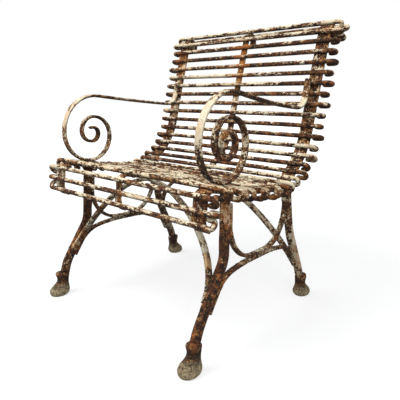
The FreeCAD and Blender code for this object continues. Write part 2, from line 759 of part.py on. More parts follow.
def make_side_bars(word, side):
    """U-bar and arch of one side, both set inward from the middle of the legs."""
    front, rear = legs["front", word], legs["rear", word]
    inset = -side * size("side_bar_inset")
    u_start = moved(front.frame(size("u_front_distance")), y=LEG_TO_BAR, z=inset)
    u_end = moved(rear.frame(size("u_rear_distance")), y=-LEG_TO_BAR, z=inset)
    put(f"{word}_u_rear_turn", turn_between(u_start, reversed_frame(u_end)) - size("u_front_turn"))
    steps = [
        ("line", "u_front_length"),
        ("left", "u_corner_radius", "u_front_turn"),
        ("line", f"{word}_u_floor_length"),
        ("left", "u_corner_radius", f"{word}_u_rear_turn"),
        ("line", f"{word}_u_rear_length"),
    ]
    close_path(steps, u_start, u_end.Base, f"{word}_u_floor_length", f"{word}_u_rear_length")
    u_bar = Bar(f"{word}_u_bar", steps, u_start, flat_section, "side_bar_width", "side_bar_thickness")

    floor_start = path_length(steps[:2])
    floor_end = path_length(steps[:3])
    crown_start = moved(u_bar.frame(floor_start), y=-BAR_TO_BAR)
    arch_front = size(f"{word}_arch_front_distance")
    arch_start = reversed_frame(moved(front.frame(arch_front), y=LEG_TO_BAR, z=inset))
    arch_end = moved(rear.frame(size("arch_rear_distance")), y=-LEG_TO_BAR, z=inset)
    put(f"{word}_front_bow_turn", turn_between(crown_start, arch_start) - size("arch_front_turn"))
    rise = [
        ("line", f"{word}_arch_front_length"),
        ("right", "arch_front_radius", "arch_front_turn"),
        ("right", f"{word}_front_bow_radius", f"{word}_front_bow_turn"),
    ]
    close_path(rise, arch_start, crown_start.Base, f"{word}_arch_front_length", f"{word}_front_bow_radius")
    put(f"{word}_rear_bow_turn", turn_between(arch_end, crown_start) - size("arch_rear_turn"))
    fall = [
        ("right", f"{word}_rear_bow_radius", f"{word}_rear_bow_turn"),
        ("right", "arch_rear_radius", "arch_rear_turn"),
        ("line", f"{word}_arch_rear_length"),
    ]
    crown_end = moved(u_bar.frame(floor_end), y=-BAR_TO_BAR)
    close_path(fall, crown_end, arch_end.Base, f"{word}_rear_bow_radius", f"{word}_arch_rear_length")
    steps = rise + [("line", f"{word}_u_floor_length")] + fall
    arch = Bar(f"{word}_arch", steps, arch_start, flat_section, "side_bar_width", "side_bar_thickness")

    margin = size("edge_distance")
    half_leg, half_bar = size("leg_width") / 2, size("side_bar_thickness") / 2
    on_front = [(u_bar, size("u_front_distance") + margin), (arch, arch_front - margin)]
    on_rear = [(u_bar, size("u_rear_distance") + margin), (arch, size("arch_rear_distance") - margin)]
    for bar, distance in on_front:
        rivet("leg_rivets", flipped(moved(front.frame(distance), y=-half_leg, z=inset / 2)), [front, bar])
    for bar, distance in on_rear:
        rivet("leg_rivets", moved(rear.frame(distance), y=half_leg, z=inset / 2), [rear, bar])
    for distance in (floor_start + margin, floor_end - margin):
        rivet("arch_rivets", moved(u_bar.frame(distance), y=half_bar), [u_bar, arch])
    return [u_bar, arch]


side_bars = make_side_bars("right", 1) + make_side_bars("left", -1)


# Cross bars: each rises from the inner face of one leg, passes under the centre strap and comes down
# to the other leg. It lies flat on the legs and flat under the strap, so it twists on its way.

CROSS_BAR_SECTIONS = 8


def bezier(points, share):
    """Point and direction on the cubic curve of four control points."""
    rest = 1 - share
    point = (points[0] * rest ** 3 + points[1] * 3 * rest ** 2 * share
             + points[2] * 3 * rest * share ** 2 + points[3] * share ** 3)
    direction = ((points[1] - points[0]) * rest ** 2 + (points[2] - points[1]) * 2 * rest * share
                 + (points[3] - points[2]) * share ** 2)
    return point, direction.normalize()


def bar_section(point, along, facing):
    """Rectangle across a bar, with its thickness towards a facing direction."""
    across = along.cross(facing).normalize() * (size("cross_bar_width") / 2)
    through = across.cross(along).normalize() * (size("cross_bar_thickness") / 2)
    corners = [across + through, across - through, -across - through, -across + through]
    return Part.makePolygon([point + corner for corner in corners + corners[:1]])


def make_cross_bar(end):
    foot_leg = legs[end, "right"]
    foot = foot_leg.frame(size(f"{end}_foot_distance"))
    inner = size("leg_thickness") / 2 + size("seat_gap") + size("cross_bar_thickness") / 2
    foot = moved(foot, z=-inner)
    lean = Rotation(Vector(0, 0, 1), size(f"{end}_foot_lean") * (1 if end == "rear" else -1))
    rising = foot.Rotation.multVec(lean.multVec(Vector(-1, 0, 0)))
    crown = moved(rod_frame(centre_strap, CROWN_RODS[end]), y=-STRAP_BACK - size("cross_bar_thickness") / 2)
    points = [
        foot.Base,
        foot.Base + rising * size(f"{end}_foot_pull"),
        crown.Base + Vector(size(f"{end}_crown_pull"), 0, 0),
        crown.Base,
    ]
    foot_facing = foot.Rotation.multVec(Vector(0, 0, 1))
    crown_facing = crown.Rotation.multVec(Vector(0, 1, 0))
    right_half = []
    left_half = []
    for number in range(CROSS_BAR_SECTIONS + 1):
        share = number / CROSS_BAR_SECTIONS
        point, along = bezier(points, share)
        facing = foot_facing * (1 - share) + crown_facing * share
        right_half.append(bar_section(point, along, facing))
        mirrored = [Vector(-item.x, item.y, item.z) for item in (point, along, facing)]
        left_half.append(bar_section(mirrored[0], -mirrored[1], mirrored[2]))
    sections = right_half + left_half[-2::-1]
    bar = doc.addObject("Part::Feature", f"{end}_cross_loft")
    bar.Shape = Part.makeLoft(sections, True, False)
    cross_bar = Casting(f"{end}_cross_bar", bar)
    for word, strap, side in SIDES:
        leg = legs[end, word]
        outer = moved(leg.frame(size(f"{end}_foot_distance") - size("edge_distance") + 4),
                      z=side * (size("leg_thickness") / 2 - size("head_sink")))
        axis = frame_of(outer.Base, outer.Rotation.multVec(Vector(1, 0, 0)),
                        outer.Rotation.multVec(Vector(0, 0, side)))
        rivet("cross_bar_foot_rivets", axis, [leg, cross_bar], flat=True)
    rod = rods[CROWN_RODS[end]]
    head = moved(rod_frame(centre_strap, CROWN_RODS[end]), y=size("rod_flat"))
    rivet("cross_bar_crown_rivets", head, [rod, centre_strap, cross_bar], flat=True)
    doc.recompute(cross_bar.cutters)
    bar.Shape = bar.Shape.cut([cutter.Shape for cutter in cross_bar.cutters])
    cross_bar.cutters = []
    return cross_bar


cross_bars = [make_cross_bar("front"), make_cross_bar("rear")]


# Hoof feet: a skin through six oval sections, with a socket for the leg's tenon and a cross pin

def oval(frame, name):
    """Oval section in the XY plane of a frame, long along its X axis."""
    ring = doc.addObject("Part::Ellipse", f"{name}_oval")
    ring.setExpression("MajorRadius", bound(f"{name}_half_length"))
    ring.setExpression("MinorRadius", bound(f"{name}_half_width"))
    ring.Placement = frame
    return ring


def make_hoof(end, word):
    leg = legs[end, word]
    axis = leg.end_axis
    ground = Placement(Vector(axis.Base.x, axis.Base.y, 0), Rotation(Vector(0, 0, 1), 90 * leg.outward))
    up = axis.Rotation.multVec(Vector(0, -1, 0))
    lean = Rotation(Vector(0, 0, 1), up)
    rings = [oval(moved(ground, x=size("sole_shift")), "sole")]
    for name in ("rim", "crown", "neck", "collar"):
        height = size(f"{name}_height")
        middle = moved(ground, x=size(f"{name}_shift"), z=height).Base
        share = Rotation().slerp(lean, (height / axis.Base.z) ** 2)
        rings.append(oval(Placement(middle, share.multiply(ground.Rotation)), name))
    rings.append(oval(Placement(axis.Base, lean.multiply(ground.Rotation)), "top"))
    loft = doc.addObject("Part::Loft", f"{end}_{word}_hoof_skin")
    loft.Sections = rings
    loft.Solid = True
    hoof = Casting(f"{end}_{word}_hoof", loft)
    socket_radius = f"{bound('foot_tenon_radius')} + {bound('hole_clearance')}"
    socket_depth = f"{bound('foot_tenon_length')} + 2 * {bound('hole_clearance')} + 2"
    hoof.cutters.append(cylinder("socket", moved(axis, y=-2), socket_radius, socket_depth))
    pin = Vector(1, 0, 0)
    middle = moved(axis, y=size("hoof_pin_distance"))
    pin_frame = frame_of(middle.Base - pin * (size("hoof_pin_length") / 2), Vector(0, 1, 0), pin)
    long_frame = frame_of(middle.Base - pin * size("hoof_pin_length"), Vector(0, 1, 0), pin)
    pin_hole = f"{bound('hoof_pin_radius')} + {bound('hole_clearance')}"
    hole = cylinder("pin_hole", long_frame, pin_hole, f"2 * {bound('hoof_pin_length')}")
    hoof.cutters.append(hole)
    leg.cutters.append(hole)
    hoof_pin_frames.append(pin_frame)
    return hoof


hoof_pin_frames = []
hooves = [make_hoof(end, word) for end, word in legs]

# Whole chair

pieces = [right_strap, centre_strap, left_strap] + list(rods.values()) + arms + list(legs.values())
pieces += side_bars + cross_bars + hooves
nodes = [finish(piece) for piece in pieces]
nodes += [add_group(kind, rivet_shape(size(GRIPS[kind])), frames) for kind, frames in rivet_places.items()]
pin_solid = Part.makeCylinder(size("hoof_pin_radius"), size("hoof_pin_length"), Vector(), Vector(0, 1, 0))
nodes.append(add_group("hoof_pins", pin_solid, hoof_pin_frames))
doc.recompute()

for item in doc.Objects:
    if {"Invalid", "Error"} & set(item.State):
        raise RuntimeError(f"{item.Label} did not build: {item.State}")
for node in nodes:
    if node.Shape.isNull() or not node.Shape.isValid() or not node.Shape.Solids:
        raise RuntimeError(f"{node.Label} has no valid solid")

os.makedirs("parts", exist_ok=True)
for node in nodes:
    node.Shape.exportStep(f"parts/{node.Label}.step")
whole = Part.makeCompound([node.Shape for node in nodes]).BoundBox
print(f"{len(nodes)} nodes, {sum(len(node.Shape.Solids) for node in nodes)} solids")
print(f"X {whole.XMin:.2f} {whole.XMax:.2f}  Y {whole.YMin:.2f} {whole.YMax:.2f}  Z {whole.ZMin:.2f} {whole.ZMax:.2f}")
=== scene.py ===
"""Slatted garden armchair of riveted forged iron, with the last of its old oil paint flaking off the rust.

The bars, hooves and rivets are grown from the frame's own solids, and the rods from lines worked out here.
Lengths are in metres unless a name or comment says mm. The chair faces -Y, +X is on the right of someone who
looks along +Y, and the floor is z = 0.
"""

import math

import bmesh
import bpy
import numpy as np
from mathutils import Matrix, Vector


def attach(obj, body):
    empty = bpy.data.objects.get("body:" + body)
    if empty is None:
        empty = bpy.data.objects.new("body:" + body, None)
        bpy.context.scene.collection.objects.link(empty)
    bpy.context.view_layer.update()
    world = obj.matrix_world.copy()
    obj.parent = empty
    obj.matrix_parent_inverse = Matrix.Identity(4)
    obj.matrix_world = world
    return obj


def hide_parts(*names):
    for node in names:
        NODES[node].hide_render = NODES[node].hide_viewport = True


bl_info = {
    "name": "Riveted Garden Armchair",
    "version": (1, 0, 0),
    "blender": (4, 5, 0),
    "location": "View3D > Sidebar > Garden Chair",
    "description": "Forges the rods, bars, scrolls and hoof feet of a flaking garden armchair",
    "category": "Object",
}

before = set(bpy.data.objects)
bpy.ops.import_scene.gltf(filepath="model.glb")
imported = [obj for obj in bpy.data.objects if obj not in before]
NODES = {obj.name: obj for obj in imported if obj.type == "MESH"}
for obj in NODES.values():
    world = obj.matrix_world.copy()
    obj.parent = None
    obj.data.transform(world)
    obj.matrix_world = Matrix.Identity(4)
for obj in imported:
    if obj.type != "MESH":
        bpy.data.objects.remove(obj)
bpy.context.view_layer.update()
MM = 0.001


# Helpers for node trees

def linear(hex_colour):
    """Linear RGBA of an sRGB hex colour such as "8A5A33"."""
    channels = [int(hex_colour[start:start + 2], 16) / 255 for start in (0, 2, 4)]
    return [c / 12.92 if c <= 0.04045 else ((c + 0.055) / 1.055) ** 2.4 for c in channels] + [1.0]


def every(mm):
    """Texture scale at which a pattern repeats about every so many millimetres."""
    return 1.0 / (mm * MM)


def add(tree, kind, inputs=None, **settings):
    """Adds a node. Settings are its properties; inputs are values, or output sockets to link."""
    node = tree.nodes.new(kind)
    for name, value in settings.items():
        setattr(node, name, value)
    for name, value in (inputs or {}).items():
        if isinstance(value, bpy.types.NodeSocket):
            tree.links.new(value, node.inputs[name])
        else:
            node.inputs[name].default_value = value
    return node


# Sizes and colours that a user would change

class ForgeSizes(bpy.types.PropertyGroup):
    """How the iron was forged and how far it has rusted"""

    rod_radius: bpy.props.FloatProperty(
        name="Rod Radius", description="Half the thickness of a rod, without its crust", default=6 * MM,
        subtype="DISTANCE")
    rod_sides: bpy.props.IntProperty(
        name="Rod Sides", description="Points around a rod", default=16, min=8, max=32)
    rod_step: bpy.props.FloatProperty(
        name="Rod Step", description="Length of one ring of a rod", default=2.6 * MM, subtype="DISTANCE")
    rod_sway: bpy.props.FloatProperty(
        name="Rod Sway", description="How far a rod wanders from straight", default=0.9 * MM,
        subtype="DISTANCE")
    tip_length: bpy.props.FloatProperty(
        name="Tip Length", description="Length over which the end of a rod is beaten narrower",
        default=4.5 * MM, subtype="DISTANCE")
    tip_share: bpy.props.FloatProperty(
        name="Tip Share", description="Share of the rod's thickness that is left at its end", default=0.66,
        subtype="FACTOR", min=0.0, max=1.0)
    hook_radius: bpy.props.FloatProperty(
        name="Hook Radius", description="Bend of the rod ends behind the straps", default=10 * MM,
        subtype="DISTANCE")
    top_hook_radius: bpy.props.FloatProperty(
        name="Top Hook Radius", description="Bend of the rod ends in the top roll", default=8 * MM,
        subtype="DISTANCE")
    skin_voxel: bpy.props.FloatProperty(
        name="Skin Voxel", description="Grid on which the bars are given their worn skin", default=2 * MM,
        subtype="DISTANCE")
    cast_voxel: bpy.props.FloatProperty(
        name="Cast Voxel", description="Grid on which the hooves are given their worn skin", default=1.6 * MM,
        subtype="DISTANCE")
    crust: bpy.props.FloatProperty(
        name="Crust", description="Thickness of old paint and rust scale on the iron", default=0.55 * MM,
        subtype="DISTANCE")
    dent_depth: bpy.props.FloatProperty(
        name="Dent Depth", description="Depth of the hammer's dents", default=0.5 * MM, subtype="DISTANCE")
    pit_depth: bpy.props.FloatProperty(
        name="Pit Depth", description="Depth of the rust's pits", default=0.55 * MM, subtype="DISTANCE")


class FinishColours(bpy.types.PropertyGroup):
    """Colours of the old paint, of the rust and of the mud, as sRGB hex values"""

    cream: bpy.props.StringProperty(name="Cream", description="Clean old oil paint", default="F1E6C9")
    straw: bpy.props.StringProperty(name="Straw", description="Paint stained by rust water", default="CF9752")
    peach: bpy.props.StringProperty(name="Peach", description="Undercoat seen on the legs", default="DDA57C")
    soot: bpy.props.StringProperty(name="Soot", description="Oldest, blackest rust", default="130B08")
    umber: bpy.props.StringProperty(name="Umber", description="Brown rust", default="3B261A")
    russet: bpy.props.StringProperty(name="Russet", description="Red-brown rust", default="653B24")
    rind: bpy.props.StringProperty(name="Rind", description="Undercoat crumbs in the rust", default="DCA96A")
    ochre: bpy.props.StringProperty(name="Ochre", description="Fresh orange rust", default="AF6A32")
    moss: bpy.props.StringProperty(name="Moss", description="Green growth on the paint", default="6F7158")
    peat: bpy.props.StringProperty(name="Peat", description="Mud in the hooves' pores", default="3A3228")
    silt: bpy.props.StringProperty(name="Silt", description="Dried mud on the hooves", default="BDAB86")


class StageSizes(bpy.types.PropertyGroup):
    """Camera and lamps"""

    lens: bpy.props.FloatProperty(name="Lens", description="Focal length", default=36.353, unit="CAMERA")
    key_power: bpy.props.FloatProperty(
        name="Key Power", description="Large soft lamp, above", default=70.0, unit="POWER")
    fill_power: bpy.props.FloatProperty(
        name="Fill Power", description="Lamp near the camera", default=22.0, unit="POWER")
    sky_strength: bpy.props.FloatProperty(
        name="Sky Strength", description="Light from all round", default=0.42)


# What every piece is made of

def blank(kind, name):
    """A new material or world, and its empty node tree."""
    made = kind.new(name)
    made.use_nodes = True
    made.node_tree.nodes.clear()
    return made, made.node_tree


# Undercoat is left where its crumbs coincide with drifts of them, which count for this much
DRIFT_WEIGHT = 0.8


def rust(tree, place, finish, colours):
    """Colour of rusted iron, black, brown and red-brown with orange blooms, and the pattern behind it."""
    crust = add(tree, "ShaderNodeTexNoise", {
        "Vector": place, "Scale": every(11), "Detail": 9.0, "Roughness": 0.68,
        "Distortion": 0.6}).outputs["Fac"]
    ramp = add(tree, "ShaderNodeValToRGB", {"Fac": crust})
    stops = ramp.color_ramp.elements
    stops[0].position, stops[0].color = 0.40, linear(colours.soot)
    stops[1].position, stops[1].color = 0.72, linear(colours.ochre)
    for position, colour in ((0.47, colours.umber), (0.585, colours.russet)):
        stops.new(position).color = linear(colour)
    bloom = add(tree, "ShaderNodeTexNoise", {
        "Vector": place, "Scale": every(34), "Detail": 4.0, "Roughness": 0.6}).outputs["Fac"]
    bloom = add(tree, "ShaderNodeMapRange", {
        "Value": bloom, "From Min": 0.56, "From Max": 0.68, "To Max": finish["bloom"]}).outputs["Result"]
    colour = add(tree, "ShaderNodeMix", {
        "Factor": bloom, "A": ramp.outputs["Color"], "B": linear(colours.ochre)}, data_type="RGBA")
    # Crumbs of undercoat a few millimetres wide are left in the pits
    crumbs = add(tree, "ShaderNodeTexNoise", {
        "Vector": place, "Scale": every(4.5), "Detail": 2.0, "Roughness": 0.6}).outputs["Fac"]
    drift = add(tree, "ShaderNodeTexNoise", {
        "Vector": place, "Scale": every(22), "Detail": 3.0, "Roughness": 0.6}).outputs["Fac"]
    crumbs = add(tree, "ShaderNodeMath", {
        0: drift, 1: DRIFT_WEIGHT, 2: crumbs}, operation="MULTIPLY_ADD").outputs[0]
    crumbs = add(tree, "ShaderNodeMapRange", {
        "Value": crumbs, "From Min": 1.01, "From Max": 1.06, "To Max": finish["rind"]}).outputs["Result"]
    colour = add(tree, "ShaderNodeMix", {
        "Factor": crumbs, "A": colour.outputs["Result"], "B": linear(colours.rind)}, data_type="RGBA")
    return colour.outputs["Result"], crust


# Widths of the flakes in mm, and how much they count
FLAKES = ((8, 1.0), (4, 0.7))
# How far the edges of the flakes wander
CROOKED = (7 * MM, 7 * MM, 7 * MM)
# Widths in mm of clouds of more and less paint, down to crumbs in the rust and pinholes in the paint
CLOUDS = ((60, "patches"), (17, "patches"), (3.6, "crumbs"))
NOISE_MIDDLE = (0.5, 0.5, 0.5)


def paint_left(tree, place, finish, facing):
    """Paint that is left: there is some wherever this is above 0."""
    grain = add(tree, "ShaderNodeMapping", {"Vector": place, "Scale": finish["stretch"]}).outputs["Vector"]
    # Flakes are cells with crooked edges
    ragged = add(tree, "ShaderNodeTexNoise", {"Vector": place, "Scale": every(5), "Detail": 4.0})
    offset = add(tree, "ShaderNodeVectorMath", {
        0: ragged.outputs["Color"], 1: NOISE_MIDDLE}, operation="SUBTRACT").outputs["Vector"]
    crooked = add(tree, "ShaderNodeVectorMath", {
        0: offset, 1: CROOKED, 2: grain}, operation="MULTIPLY_ADD").outputs["Vector"]
    left = add(tree, "ShaderNodeAttribute", attribute_name="coat").outputs["Fac"]
    for width, weight in FLAKES:
        cell = add(tree, "ShaderNodeTexVoronoi", {"Vector": crooked, "Scale": every(width)})
        share = add(tree, "ShaderNodeSeparateColor", {"Color": cell.outputs["Color"]}).outputs["Red"]
        share = add(tree, "ShaderNodeMath", {0: share, 1: 0.5}, operation="SUBTRACT").outputs[0]
        left = add(tree, "ShaderNodeMath", {
            0: share, 1: weight * finish["chips"], 2: left}, operation="MULTIPLY_ADD").outputs[0]
    for width, kind in CLOUDS:
        cloud = add(tree, "ShaderNodeTexNoise", {
            "Vector": grain, "Scale": every(width), "Detail": 5.0, "Roughness": 0.6}).outputs["Fac"]
        cloud = add(tree, "ShaderNodeMath", {0: cloud, 1: 0.5}, operation="SUBTRACT").outputs[0]
        left = add(tree, "ShaderNodeMath", {
            0: cloud, 1: finish[kind], 2: left}, operation="MULTIPLY_ADD").outputs[0]
    # Water that hangs under the bars has lifted more of the paint there
    return add(tree, "ShaderNodeMath", {
        0: facing, 1: finish["weather_side"], 2: left}, operation="MULTIPLY_ADD").outputs[0]


# How strongly rust that has bled makes the bare iron orange, and how strongly it stains the paint
BLED_RUST = 0.3
BLED_STAIN = 0.22


def bare_iron(tree, place, left, bled, finish, colours):
    """Colour of the iron where the paint has gone: orange where rust bleeds, and beside the paint."""
    bare, crust = rust(tree, place, finish, colours)
    beside = add(tree, "ShaderNodeMapRange", {
        "Value": left, "From Min": -0.22, "From Max": 0.0, "To Max": 0.15}).outputs["Result"]
    fresh = add(tree, "ShaderNodeMath", {
        0: bled, 1: BLED_RUST, 2: crust}, operation="MULTIPLY_ADD").outputs[0]
    fresh = add(tree, "ShaderNodeMapRange", {
        "Value": fresh, "From Min": 0.64, "From Max": 0.8}).outputs["Result"]
    fresh = add(tree, "ShaderNodeMath", {
        0: beside, 1: crust, 2: fresh}, operation="MULTIPLY_ADD", use_clamp=True).outputs[0]
    return add(tree, "ShaderNodeMix", {
        "Factor": fresh, "A": bare, "B": linear(colours.ochre)}, data_type="RGBA").outputs["Result"]


def stained_paint(tree, place, left, bled, finish, colours):
    """Colour of the paint, with rust water soaked into it and into its rims, and the growth on it."""
    stains = add(tree, "ShaderNodeTexNoise", {
        "Vector": place, "Scale": every(26), "Detail": 6.0, "Roughness": 0.65}).outputs["Fac"]
    stains = add(tree, "ShaderNodeMath", {
        0: bled, 1: BLED_STAIN, 2: stains}, operation="MULTIPLY_ADD").outputs[0]
    stains = add(tree, "ShaderNodeMapRange", {
        "Value": stains, "From Min": 0.46, "From Max": 0.66, "To Max": finish["stain"]}).outputs["Result"]
    stained = linear(getattr(colours, finish["stained"]))
    paint = add(tree, "ShaderNodeMix", {
        "Factor": stains, "A": linear(colours.cream), "B": stained}, data_type="RGBA")
    within = add(tree, "ShaderNodeMapRange", {"Value": left, "From Max": 0.14}).outputs["Result"]
    paint = add(tree, "ShaderNodeMix", {
        "Factor": within, "A": linear(colours.straw), "B": paint.outputs["Result"]}, data_type="RGBA")
    growth = add(tree, "ShaderNodeTexNoise", {
        "Vector": place, "Scale": every(15), "Detail": 5.0, "Roughness": 0.7}).outputs["Fac"]
    growth = add(tree, "ShaderNodeMapRange", {
        "Value": growth, "From Min": 0.40, "From Max": 0.62, "To Max": finish["moss"]}).outputs["Result"]
    paint = add(tree, "ShaderNodeMix", {
        "Factor": growth, "A": paint.outputs["Result"], "B": linear(colours.moss)}, data_type="RGBA")
    return paint.outputs["Result"], growth


# Heights as shares of the bump's distance: the rust scale, the paint's own level, and how much of the scale
# shows through the paint
SCALE_HEIGHT = 0.7
PAINT_HEIGHT = 0.75
SHOWS_THROUGH = 0.2
# How much rougher the paint is where something grows on it
GROWTH_ROUGHNESS = 0.2


def flaking_paint(name, finish, colours):
    """Two coats of oil paint, brushed on forged iron, that the rust has lifted off in angular flakes.

    The eye sees chalky cream islands with stained rims, standing about half a millimetre proud of dark rust.
    """
    material, tree = blank(bpy.data.materials, name)
    place = add(tree, "ShaderNodeTexCoord").outputs["Object"]
    facing = add(tree, "ShaderNodeSeparateXYZ", {
        0: add(tree, "ShaderNodeNewGeometry").outputs["Normal"]}).outputs["Z"]
    bled = add(tree, "ShaderNodeAttribute", attribute_name="bled").outputs["Fac"]
    left = paint_left(tree, place, finish, facing)
    painted = add(tree, "ShaderNodeMapRange", {
        "Value": left, "From Min": -0.02, "From Max": 0.02},
        interpolation_type="SMOOTHSTEP").outputs["Result"]
    bare = bare_iron(tree, place, left, bled, finish, colours)
    paint, growth = stained_paint(tree, place, left, bled, finish, colours)
    colour = add(tree, "ShaderNodeMix", {"Factor": painted, "A": bare, "B": paint}, data_type="RGBA")
    # Painted shade: the colour is darkened where the surface faces down, for the shade that falls under the
    # bars
    painted_underside_shade = add(tree, "ShaderNodeMapRange", {
        "Value": facing, "From Min": -0.9, "From Max": 0.35, "To Min": 0.3}).outputs["Result"]
    shade = add(tree, "ShaderNodeCombineColor", {"Red": painted_underside_shade, "Green": painted_underside_shade, "Blue": painted_underside_shade})
    colour = add(tree, "ShaderNodeMix", {
        "Factor": 1.0, "A": colour.outputs["Result"], "B": shade.outputs["Color"]},
        data_type="RGBA", blend_type="MULTIPLY")

    roughness = add(tree, "ShaderNodeMapRange", {
        "Value": painted, "To Min": 0.92, "To Max": 0.62}).outputs["Result"]
    roughness = add(tree, "ShaderNodeMath", {
        0: growth, 1: GROWTH_ROUGHNESS, 2: roughness}, operation="MULTIPLY_ADD", use_clamp=True).outputs[0]
    # Rust scale is about 2 mm coarse, drawn a little coarser than it is so that it shows
    scale = add(tree, "ShaderNodeTexNoise", {
        "Vector": place, "Scale": every(2.4), "Detail": 5.0, "Roughness": 0.7}).outputs["Fac"]
    scale = add(tree, "ShaderNodeMath", {0: scale, 1: SCALE_HEIGHT}, operation="MULTIPLY").outputs[0]
    brushed = add(tree, "ShaderNodeMath", {
        0: scale, 1: SHOWS_THROUGH, 2: PAINT_HEIGHT}, operation="MULTIPLY_ADD").outputs[0]
    height = add(tree, "ShaderNodeMix", {"Factor": painted, "A": scale, "B": brushed}).outputs["Result"]
    bump = add(tree, "ShaderNodeBump", {"Height": height, "Strength": 0.9, "Distance": 1.3 * MM})
    surface = add(tree, "ShaderNodeBsdfPrincipled", {
        "Base Color": colour.outputs["Result"], "Roughness": roughness, "Normal": bump.outputs["Normal"],
        "Metallic": 0.0, "IOR": 1.5, "Specular IOR Level": 0.35})
    add(tree, "ShaderNodeOutputMaterial", {"Surface": surface.outputs["BSDF"]})
    return material


# Between these heights above the floor mud thins out upwards
MUD_THICK = 18 * MM
MUD_THIN = 52 * MM
# Height of the groove below the collar, and how far from it the painted shade in the groove is darkest and
# ends
GROOVE = 50 * MM
GROOVE_SHADE_FULL = 4 * MM
GROOVE_SHADE_END = 16 * MM


def muddy_cast_iron(name, finish, colours):
    """Sand-cast grey iron feet, never scraped clean: rust under grey-green growth and dried mud.

    The eye sees a dull olive-grey skin, speckled pale and orange, browner towards the collar.
    """
    material, tree = blank(bpy.data.materials, name)
    place = add(tree, "ShaderNodeTexCoord").outputs["Object"]
    bare, crust = rust(tree, place, finish, colours)
    level = add(tree, "ShaderNodeSeparateXYZ", {0: place}).outputs["Z"]
    low = add(tree, "ShaderNodeMapRange", {
        "Value": level, "From Min": MUD_THIN, "From Max": MUD_THICK, "To Min": -0.08, "To Max": 0.16})
    cloud = add(tree, "ShaderNodeTexNoise", {
        "Vector": place, "Scale": every(12), "Detail": 7.0, "Roughness": 0.75})
    cloud = add(tree, "ShaderNodeMath", {0: cloud.outputs["Fac"], 1: low.outputs["Result"]}, operation="ADD")
    covered = add(tree, "ShaderNodeMapRange", {
        "Value": cloud.outputs[0], "From Min": 0.46, "From Max": 0.60}).outputs["Result"]
    specks = add(tree, "ShaderNodeTexNoise", {
        "Vector": place, "Scale": every(6), "Detail": 5.0, "Roughness": 0.8}).outputs["Fac"]
    specks = add(tree, "ShaderNodeMath", {0: specks, 1: low.outputs["Result"]}, operation="ADD").outputs[0]
    specks = add(tree, "ShaderNodeMapRange", {
        "Value": specks, "From Min": 0.52, "From Max": 0.78}).outputs["Result"]
    mud = add(tree, "ShaderNodeMix", {
        "Factor": specks, "A": linear(colours.peat), "B": linear(colours.silt)}, data_type="RGBA")
    colour = add(tree, "ShaderNodeMix", {
        "Factor": covered, "A": bare, "B": mud.outputs["Result"]}, data_type="RGBA")
    # Painted shade: the groove below the collar is darkened towards the soot colour, for the shade under the
    # collar
    gap = add(tree, "ShaderNodeMath", {0: level, 1: GROOVE}, operation="SUBTRACT").outputs[0]
    gap = add(tree, "ShaderNodeMath", {0: gap}, operation="ABSOLUTE").outputs[0]
    painted_groove_shade = add(tree, "ShaderNodeMapRange", {
        "Value": gap, "From Min": GROOVE_SHADE_END, "From Max": GROOVE_SHADE_FULL, "To Max": 0.7}).outputs["Result"]
    colour = add(tree, "ShaderNodeMix", {
        "Factor": painted_groove_shade, "A": colour.outputs["Result"], "B": linear(colours.soot)}, data_type="RGBA")
    rough = add(tree, "ShaderNodeMapRange", {"Value": crust, "To Min": 0.75, "To Max": 1.0})
    height = add(tree, "ShaderNodeTexNoise", {
        "Vector": place, "Scale": every(3), "Detail": 6.0, "Roughness": 0.7})
    bump = add(tree, "ShaderNodeBump", {
        "Height": height.outputs["Fac"], "Strength": 0.9, "Distance": 1.2 * MM})
    surface = add(tree, "ShaderNodeBsdfPrincipled", {
        "Base Color": colour.outputs["Result"], "Roughness": rough.outputs["Result"],
        "Normal": bump.outputs["Normal"], "Metallic": 0.0, "IOR": 1.5, "Specular IOR Level": 0.3})
    add(tree, "ShaderNodeOutputMaterial", {"Surface": surface.outputs["BSDF"]})
    return material


# Flakes and patches are longer in the direction whose scale is below 1
ALONG_X = (0.42, 1.0, 1.0)
EVEN = (1.0, 1.0, 1.0)
UPRIGHT = (1.0, 1.0, 0.6)
FINISHES = {
    "rod_paint": {"crumbs": 2.4, "chips": 0.6, "patches": 2.4, "weather_side": 0.3, "stretch": ALONG_X,
                  "stain": 0.5, "stained": "straw", "moss": 0.12, "bloom": 0.5, "rind": 0.45},
    "strap_paint": {"crumbs": 2.0, "chips": 0.5, "patches": 2.1, "weather_side": 0.0, "stretch": UPRIGHT,
                    "stain": 0.9, "stained": "straw", "moss": 0.1, "bloom": 0.75, "rind": 0.9},
    "arm_paint": {"crumbs": 2.0, "chips": 0.5, "patches": 2.2, "weather_side": 0.22, "stretch": EVEN,
                  "stain": 0.5, "stained": "straw", "moss": 0.12, "bloom": 0.7, "rind": 0.5},
    "leg_paint": {"crumbs": 2.0, "chips": 0.5, "patches": 2.0, "weather_side": 0.0, "stretch": UPRIGHT,
                  "stain": 0.8, "stained": "peach", "moss": 0.18, "bloom": 0.2, "rind": 0.3},
    "brace_paint": {"crumbs": 3.0, "chips": 0.6, "patches": 2.3, "weather_side": 0.1, "stretch": EVEN,
                    "stain": 0.7, "stained": "straw", "moss": 0.4, "bloom": 0.5, "rind": 0.6},
    "rivet_iron": {"crumbs": 1.2, "chips": 0.4, "patches": 1.6, "weather_side": 0.1, "stretch": EVEN,
                   "stain": 0.5, "stained": "straw", "moss": 0.1, "bloom": 0.8, "rind": 0.3},
    "hoof_iron": {"bloom": 0.3, "rind": 0.6},
}


def finish_of(slot):
    """The material of a slot, made when the first piece needs it."""
    name = "weathered_" + slot
    make = muddy_cast_iron if slot == "hoof_iron" else flaking_paint
    return bpy.data.materials.get(name) or make(name, FINISHES[slot], bpy.context.scene.chair_colours)


# How much paint is left: 0 is about half of it. Whole pieces first, then spots where more or less has stayed.

